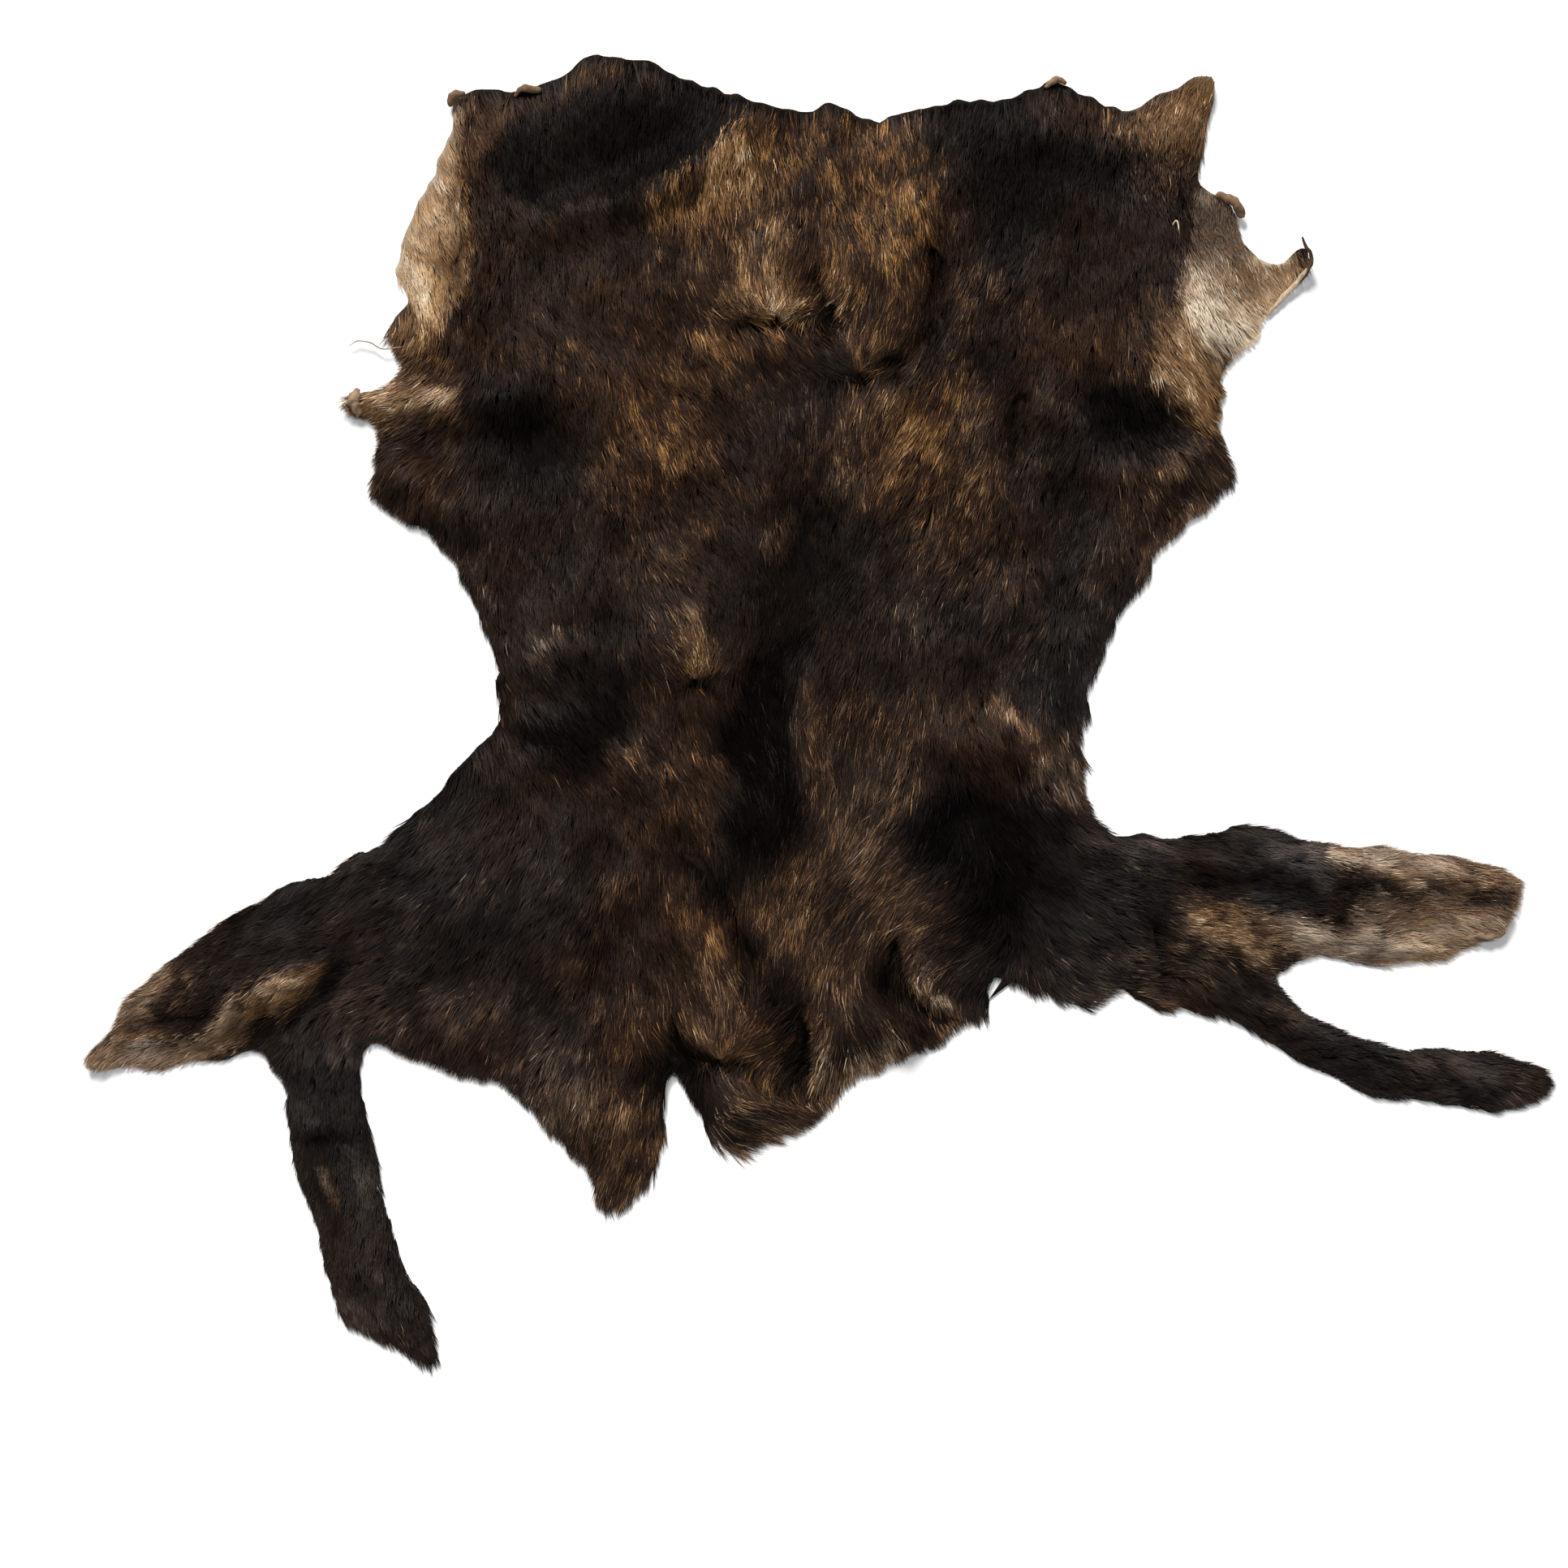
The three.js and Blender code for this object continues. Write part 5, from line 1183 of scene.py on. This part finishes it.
def short_of_folds(lie, x, y, way_x, way_y, long):
    """Lengths of hairs that stop at a whorl's point and at the edge of a deep fold."""
    for row in WHORLS:
        far = np.hypot(row[1] - x, row[2] - y) + 1e-6
        towards = (way_x * (row[1] - x) + way_y * (row[2] - y)) / far
        long = np.where((towards > 0.75) & (far < 0.16), np.minimum(long, 0.98 * far), long)
    high = lie.read(lie.groove, x, y) > GROOVE_EDGE
    kept = long
    for share in (1.0, 0.85, 0.7, 0.55, 0.4):
        there = lie.read(lie.groove, x + share * long * way_x, y + share * long * way_y)
        kept = np.where(high & (there < GROOVE_FLOOR), share * long, kept)
    return kept


def turned(x, y, turn):
    """Ways in plan turned by angles."""
    return x * np.cos(turn) - y * np.sin(turn), x * np.sin(turn) + y * np.cos(turn)


def combed_hairs(name, x, y, seed, coat, reach=1.0, slim=1.0, paler=0.0, bent=True):
    """A piece of hair growing at places in plan, combed, tufted and tinted by the tables."""
    lie = lie_of_hide()
    chance = np.random.default_rng(seed)
    count = len(x)
    number, tuft_x, tuft_y = tufts_of(x, y, coat.tuft_spacing, SEED + 40)
    tuft = np.random.default_rng(SEED + 41).normal(0, 1, (4, TUFT_CELLS ** 2))[:, number]
    long = length_at(x, y, coat.length) * reach
    long *= np.clip(1 + 0.16 * chance.normal(0, 1, count) + 0.08 * tuft[0], 0.5, 1.5)
    turn = (0.12 * chance.normal(0, 1, count) + 0.12 * tuft[TUFT_TURN]
            + 0.28 * waves(x, y, 0.11, SEED + 5))
    way_x, way_y = turned(*comb_at(x, y), turn)
    outward = way_x * lie.read(lie.out_x, x, y) + way_y * lie.read(lie.out_y, x, y)
    room = lie.read(lie.gap, x, y) + fringe_at(x, y) * chance.uniform(0.2, 1.0, count)
    to_rim = np.maximum(room, 0.004) / np.maximum(outward, 0.1)
    long = np.where(outward > 0.1, np.minimum(long, to_rim), long)
    long = short_of_folds(lie, x, y, way_x, way_y, long)
    half_x, half_y = x + way_x * long / 2, y + way_y * long / 2
    last_x, last_y = turned(*comb_at(half_x, half_y), turn)
    aside = (x - tuft_x) * -way_y + (y - tuft_y) * way_x
    pull = np.minimum(coat.tuft_pull, long / 0.08) * aside
    tip_x = half_x + last_x * long / 2 + way_y * pull
    tip_y = half_y + last_y * long / 2 - way_x * pull
    half_x, half_y = half_x + 0.35 * way_y * pull, half_y - 0.35 * way_x * pull

    raised = np.clip(0.25 + 0.35 * chance.normal(0, 1, count) + 0.15 * tuft[TUFT_LIFT], -0.5, 1)
    deep = np.minimum(coat.root_depth, 0.7 * lie.read(lie.height, x, y))
    root_z = lie.read(lie.height, x, y) - deep
    half_z = lie.read(lie.height, half_x, half_y) - 0.30 * deep
    tip_z = lie.read(lie.height, tip_x, tip_y) + coat.lift * raised
    over = np.clip(-lie.read(lie.gap, tip_x, tip_y) / 0.03, 0, 1)
    tip_z = tip_z * (1 - 0.55 * over)

    tints = tints_of(lie, chance, (x, y), (half_x, half_y), long, tuft[TUFT_TONE], paler)
    widths = slim * coat.width * np.clip(1 + 0.25 * chance.normal(0, 1, count), 0.5, 1.6)
    widths *= np.clip(long / 0.040, 0.6, 1.15)
    roots = np.column_stack([x, y])
    bends = (np.column_stack([half_x, half_y]), np.column_stack([tip_x, tip_y]))
    heights = (root_z, half_z, tip_z)
    slopes = (lie.read(lie.slope_x, half_x, half_y), lie.read(lie.slope_y, half_x, half_y))
    return hairs(name, roots, bends, heights, slopes, widths, tints, hair_material(coat), bent)


def tints_of(lie, chance, root, half, long, tuft, paler):
    """The column of each hair's tint, from the coat at its middle and its tuft, with painted shade where a
    fold sinks and painted light where it rises.

    Short and pale hair varies less from one hair to the next. A share of the hairs is paler than the rest.
    """
    count = len(long)
    tone, warmth, pale = coat_at(
        half[0] + 0.006 * chance.normal(0, 1, count), half[1] + 0.010 * chance.normal(0, 1, count))
    calm = np.clip(long / 0.040, 0.25, 1) * (1 - 0.7 * smooth((tone - 0.25) / 0.25))
    cloud = 1 + calm * (0.50 * waves(*root, 0.080, SEED + 6) + 0.34 * waves(*root, 0.030, SEED + 7))
    stray = 0.22 * chance.normal(0, 1, count) + 0.23 * tuft
    tone = tone * cloud * np.clip(1 + np.maximum(calm, 0.24) * stray, 0.3, 2.0)
    # painted shade and light: hair is darkened where the coat sinks into a fold and lightened where it
    # rises
    tone = tone * np.clip(1 + 40 * lie.read(lie.relief, *half), 0.3, 1.35)
    ticked = chance.uniform(0, 1, count) < pale * np.clip(1 + 0.7 * tuft, 0.1, 2.4)
    bright = chance.uniform(0.10, 0.36, count) * np.clip(tone / 0.18, 0.45, 1.1)
    tone = np.where(ticked, tone + bright, tone) + paler
    warmth = (warmth + 0.14 * chance.normal(0, 1, count) + 0.12 * ticked
              + 0.22 * waves(*root, 0.13, SEED + 16))
    return (np.clip(np.round(warmth * (WARMTHS - 1)), 0, WARMTHS - 1) * TONES
            + np.clip(np.round(tone * (TONES - 1)), 0, TONES - 1))


def on_left_leg(x, y):
    """Whether places in plan are on the left hind leg."""
    return (x < LEFT_LEG["side"]) & (y < LEFT_LEG["top"])


def on_right_leg(x, y):
    """Whether places in plan are on the right hind leg."""
    return (x > RIGHT_LEG["side"]) & (y < RIGHT_LEG["top"])


def keep_faces(mesh, wanted, weld=None):
    """Welds a mesh's corners if asked to, and takes away the faces that aren't wanted."""
    form = bmesh.new()
    form.from_mesh(mesh)
    if weld:
        bmesh.ops.remove_doubles(form, verts=form.verts, dist=weld)
    form.normal_update()
    bmesh.ops.delete(form, geom=[face for face in form.faces if not wanted(face)], context="FACES")
    form.to_mesh(mesh)
    form.free()


class HIDE_OT_skin(bpy.types.Operator):
    """Lay the tanned skin under the coat"""

    bl_idname = "hide.skin"
    bl_label = "Skin"

    def execute(self, context):
        settings = context.scene.hide.skin
        lie = lie_of_hide()
        bpy.ops.object.select_all(action="DESELECT")
        skin = SOLID.copy()
        skin.data = SOLID.data.copy()
        skin.name = skin.data.name = "skin"
        skin.parent = None
        for key in list(skin.keys()):
            del skin[key]
        context.scene.collection.objects.link(skin)
        context.view_layer.objects.active = skin
        skin.select_set(True)
        keep_faces(skin.data, lambda face: face.normal.z >= 0.05, weld=1e-5)
        bpy.ops.object.mode_set(mode="EDIT")
        bpy.ops.mesh.select_all(action="SELECT")
        bpy.ops.mesh.subdivide(number_cuts=1)
        bpy.ops.object.mode_set(mode="OBJECT")
        places = np.array([v.co for v in skin.data.vertices])
        for _ in range(6):
            short = np.maximum(SKIN_INSET - lie.read(lie.gap, places[:, 0], places[:, 1]), 0)
            places[:, 0] -= 0.7 * short * lie.read(lie.out_x, places[:, 0], places[:, 1])
            places[:, 1] -= 0.7 * short * lie.read(lie.out_y, places[:, 0], places[:, 1])
        high = lie.read(lie.height, places[:, 0], places[:, 1])
        places[:, 2] = np.maximum(settings.thickness, high - np.minimum(0.75 * high, settings.depth))
        skin.data.vertices.foreach_set("co", places.astype(np.float32).ravel())
        keep_faces(skin.data, lambda face: face.normal.z >= 0.35 and face.calc_area() >= 2e-7)
        skin.data.materials.clear()
        skin.data.materials.append(undercoat_material())
        skin.data.materials.append(flesh_material(settings))
        skin.data.shade_smooth()
        wall = skin.modifiers.new("wall", "SOLIDIFY")
        wall.thickness = settings.thickness
        wall.offset = -1
        wall.material_offset = 1
        wall.material_offset_rim = 0
        bpy.ops.object.modifier_apply(modifier=wall.name)
        settle(skin)
        colour_undercoat(skin)
        wear(skin)
        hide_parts(SOLID.name)
        return {"FINISHED"}


def settle(skin):
    """Lifts what thickness pushed under the floor."""
    places = np.array([v.co for v in skin.data.vertices])
    places[:, 2] = np.maximum(places[:, 2], 0)
    skin.data.vertices.foreach_set("co", places.astype(np.float32).ravel())
    skin.data.update()


def colour_undercoat(skin):
    """Stores the coat's tone at each corner of the skin."""
    places = np.array([v.co for v in skin.data.vertices])
    tone = coat_at(places[:, 0], places[:, 1])[0]
    layer = skin.data.attributes.new("tone", "FLOAT", "POINT")
    layer.data.foreach_set("value", tone.astype(np.float32))


def undercoat_material():
    """The woolly undercoat on the hair side, as dark or pale as the coat over it."""
    material, tree, shader = new_material("undercoat")
    tone = node(tree, "ShaderNodeAttribute", attribute_name="tone")
    wool = noise(tree, 160.0, 6.0, 0.7)
    colour = ramp_of(tree, uneven(tree, tone.outputs["Fac"], wool, 0.3), (
        (0.0, (0.002, 0.002, 0.002)), (0.25, (0.020, 0.013, 0.010)), (0.5, (0.16, 0.12, 0.085)),
        (1.0, (0.60, 0.50, 0.38))))
    link(tree, colour, shader.inputs["Base Color"])
    shader.inputs["Roughness"].default_value = 0.9
    shader.inputs["Specular IOR Level"].default_value = 0.02
    add_bump(tree, shader, wool, 0.6, 0.003)
    return material


def flesh_material(settings):
    """The tanned flesh side: a soft suede with darker stains and fine wrinkles."""
    material, tree, shader = new_material("flesh_side")
    colour = ramp_of(tree, noise(tree, 4.0, 8.0, 0.6), ((0.35, settings.stain), (0.62, settings.flesh)))
    link(tree, colour, shader.inputs["Base Color"])
    shader.inputs["Roughness"].default_value = 0.85
    add_bump(tree, shader, noise(tree, 220.0, 4.0, 0.7), 0.35, 0.001)
    return material


class HIDE_OT_trunk_hair(bpy.types.Operator):
    """Grow the hair of the trunk, one piece for each stretch from neck to tail"""

    bl_idname = "hide.trunk_hair"
    bl_label = "Trunk hair"

    def execute(self, context):
        coat = context.scene.hide.coat
        x, y = scatter(lie_of_hide(), coat.spacing, SEED + 20, 0.002)
        trunk = ~(on_left_leg(x, y) | on_right_leg(x, y))
        for step, (name, low, high) in enumerate(TRUNK_STRETCHES):
            here = trunk & (y >= low) & (y < high)
            wear(combed_hairs(name, x[here], y[here], SEED + 60 + step, coat))
        return {"FINISHED"}


class HIDE_OT_leg_hair(bpy.types.Operator):
    """Grow the short hair of the two hind legs"""

    bl_idname = "hide.leg_hair"
    bl_label = "Leg hair"

    def execute(self, context):
        coat = context.scene.hide.coat
        x, y = scatter(lie_of_hide(), coat.leg_spacing, SEED + 21, 0.001)
        legs = (("left_leg_hair", on_left_leg), ("right_leg_hair", on_right_leg))
        for step, (name, on_leg) in enumerate(legs):
            here = on_leg(x, y)
            wear(combed_hairs(name, x[here], y[here], SEED + 70 + step, coat, slim=1.4, bent=False))
        return {"FINISHED"}


class HIDE_OT_long_hair(bpy.types.Operator):
    """Grow the long pale hairs that stand out of the coat on the whorls, the loin, the rump and the tail"""

    bl_idname = "hide.long_hair"
    bl_label = "Long hair"

    def execute(self, context):
        coat = context.scene.hide.coat
        lie = lie_of_hide()
        x, y = scatter(lie, coat.long_spacing, SEED + 22, 0.004)
        share, paler = np.zeros_like(x), np.zeros_like(x)
        for row in LONG_HAIR:
            near = row[4] * nearness(x, y, row)
            paler = np.where(near > share, row[5], paler)
            share = np.maximum(share, near)
        clump = tufts_of(x, y, CLUMP_SPACING, SEED + 42)[0]
        share = share * np.random.default_rng(SEED + 24).uniform(0.1, 1.9, TUFT_CELLS ** 2)[clump]
        here = np.random.default_rng(SEED + 23).uniform(0, 1, len(x)) < share
        here &= lie.read(lie.groove, x, y) > -0.001
        wear(combed_hairs(
            "long_hair", x[here], y[here], SEED + 80, coat, reach=1.35, slim=0.8, paler=paler[here]))
        return {"FINISHED"}


def line_through(points):
    """A soft line through points, with ROD_STEPS places for each stretch between two of them."""
    points = np.array([points[0], *points, points[-1]])
    places = []
    for before, start, end, after in zip(points, points[1:], points[2:], points[3:]):
        bow = 2 * before - 5 * start + 4 * end - after
        twist = 3 * start - before - 3 * end + after
        for t in np.arange(ROD_STEPS) / ROD_STEPS:
            places.append(0.5 * (2 * start + (end - before) * t + bow * t ** 2 + twist * t ** 3))
    return np.array([*places, points[-1]])


def rolled_edge(wide, high, points):
    """Corners and faces of one rolled edge: a crumpled rod along a line that thins out at both ends."""
    lie = lie_of_hide()
    places = line_through(points)
    places[:, 2] += 0.55 * lie.read(lie.height, places[:, 0], places[:, 1])
    along = np.gradient(places[:, :2], axis=0)
    along /= np.linalg.norm(along, axis=1, keepdims=True) + 1e-9
    turn = 2 * np.pi * np.arange(ROD_SIDES) / ROD_SIDES
    thick = 0.12 + 0.88 * np.sin(np.pi * np.linspace(0.03, 0.97, len(places))) ** 0.5
    across = thick[:, None] * wide * np.cos(turn)
    corners = np.stack([
        places[:, 0, None] - along[:, 1, None] * across,
        places[:, 1, None] + along[:, 0, None] * across,
        np.maximum(places[:, 2, None] + thick[:, None] * high * np.sin(turn), LOWEST)], axis=2)
    corners[:, :, 0] += 0.32 * wide * waves(corners[:, :, 0], corners[:, :, 1], 0.009, SEED + 60)
    corners[:, :, 1] += 0.32 * wide * waves(corners[:, :, 0], corners[:, :, 1], 0.009, SEED + 61)
    corners[:, :, 2] += 0.28 * high * waves(corners[:, :, 0], corners[:, :, 1], 0.007, SEED + 62)
    corners[:, :, 2] = np.maximum(corners[:, :, 2], LOWEST)
    ring, spot = np.meshgrid(np.arange(len(places) - 1), np.arange(ROD_SIDES), indexing="ij")
    after = (spot + 1) % ROD_SIDES
    first = ROD_SIDES * ring
    following = first + ROD_SIDES
    fours = np.stack([first + spot, first + after, following + after, following + spot], axis=2)
    cap = np.array([[0, 3, 2, 1], [0, 5, 4, 3], [0, 7, 6, 5]])
    last = ROD_SIDES * (len(places) - 1)
    return corners.reshape(-1, 3), np.concatenate([fours.reshape(-1, 4), cap, last + cap[:, ::-1]])


class HIDE_OT_rolled_edges(bpy.types.Operator):
    """Turn and roll the bare edges of the hide at the neck, the flap, the left side and the shank"""

    bl_idname = "hide.rolled_edges"
    bl_label = "Rolled edges"

    def execute(self, context):
        corners, fours, tints, count = [], [], [], 0
        for _, wide, high, paleness, points in ROLLS:
            rod, faces = rolled_edge(wide, high, points)
            corners.append(rod)
            fours.append(faces + count)
            tints.append(np.full(len(rod), paleness))
            count += len(rod)
        none = np.zeros((0, 3), int)
        piece = new_piece(
            "rolled_edges", np.concatenate(corners), none, np.concatenate(fours), rolled_material())
        layer = piece.data.attributes.new("paleness", "FLOAT", "POINT")
        layer.data.foreach_set("value", np.concatenate(tints).astype(np.float32))
        wear(piece)
        return {"FINISHED"}


def rolled_material():
    """Bare dried hide: as pale as its edge, with stains and fine wrinkles."""
    material, tree, shader = new_material("rolled_hide")
    paleness = node(tree, "ShaderNodeAttribute", attribute_name="paleness")
    colour = ramp_of(tree, uneven(tree, paleness.outputs["Fac"], noise(tree, 60.0, 6.0, 0.65), 0.7), (
        (0.0, (0.020, 0.013, 0.009)), (0.35, (0.165, 0.100, 0.060)), (0.6, (0.34, 0.245, 0.160)),
        (1.0, (0.74, 0.64, 0.47))))
    link(tree, colour, shader.inputs["Base Color"])
    shader.inputs["Roughness"].default_value = 0.7
    shader.inputs["Specular IOR Level"].default_value = 0.08
    add_bump(tree, shader, noise(tree, 420.0, 4.0, 0.7), 0.8, 0.002)
    return material


class HIDE_OT_stage(bpy.types.Operator):
    """Set the floor, the soft light and the camera over the hide"""

    bl_idname = "hide.stage"
    bl_label = "Stage"

    def execute(self, context):
        settings = context.scene.hide.stage
        scene = context.scene
        bpy.ops.object.select_all(action="DESELECT")
        bpy.ops.mesh.primitive_plane_add(size=settings.floor_size, location=(0, 0, 0))
        floor = context.active_object
        floor.name = "floor"
        floor.data.materials.append(floor_material(settings))
        add_light("key_light", KEY_SIDE, settings.key_power, settings.softness, KEY_COLOUR)
        add_light("fill_light", FILL_SIDE, settings.fill_power, FILL_SOFTNESS, FILL_COLOUR)
        world = bpy.data.worlds.new("studio")
        world.use_nodes = True
        world.node_tree.nodes["Background"].inputs["Color"].default_value = (1, 1, 1, 1)
        world.node_tree.nodes["Background"].inputs["Strength"].default_value = settings.sky
        scene.world = world
        lens = bpy.data.cameras.new("camera")
        lens.sensor_width = 36
        lens.lens = lens.sensor_width * settings.view_height / settings.view_width
        camera = bpy.data.objects.new("camera", lens)
        camera.location = (*settings.view_centre, settings.view_height)
        scene.collection.objects.link(camera)
        scene.camera = camera
        scene.view_settings.view_transform = "Standard"
        return {"FINISHED"}


def floor_material(settings):
    """A plain, matt, pale floor."""
    material, _, shader = new_material("floor")
    shader.inputs["Base Color"].default_value = (*settings.floor_colour, 1)
    shader.inputs["Roughness"].default_value = 0.9
    return material


def add_light(name, side, power, softness, colour):
    """A far, soft light that shines from one side all over the hide."""
    lamp = bpy.data.lights.new(name, "SUN")
    lamp.energy = power
    lamp.angle = softness
    lamp.color = colour
    light = bpy.data.objects.new(name, lamp)
    light.location = LIGHT_DISTANCE * Vector(side)
    light.rotation_euler = (-Vector(side)).to_track_quat("-Z", "Y").to_euler()
    bpy.context.scene.collection.objects.link(light)


class HIDE_PT_hide(bpy.types.Panel):
    """Buttons that make the hide's pieces"""

    bl_label = "Moose hide"
    bl_idname = "HIDE_PT_hide"
    bl_space_type = "VIEW_3D"
    bl_region_type = "UI"
    bl_category = "Hide"

    def draw(self, context):
        for operator in OPERATORS:
            self.layout.operator(operator.bl_idname)


OPERATORS = (HIDE_OT_stage, HIDE_OT_skin, HIDE_OT_trunk_hair, HIDE_OT_leg_hair, HIDE_OT_long_hair,
             HIDE_OT_rolled_edges)
CLASSES = (SkinSettings, CoatSettings, StageSettings, HideSettings, *OPERATORS, HIDE_PT_hide)


def register():
    """Makes the settings, the operators and the panel known to Blender."""
    for cls in CLASSES:
        bpy.utils.register_class(cls)
    bpy.types.Scene.hide = PointerProperty(type=HideSettings)


def unregister():
    """Takes them away again."""
    del bpy.types.Scene.hide
    for cls in reversed(CLASSES):
        bpy.utils.unregister_class(cls)


def main():
    register()
    bpy.ops.hide.stage()
    bpy.ops.hide.skin()
    bpy.ops.hide.trunk_hair()
    bpy.ops.hide.leg_hair()
    bpy.ops.hide.long_hair()
    bpy.ops.hide.rolled_edges()


if __name__ == "__main__":
    main()
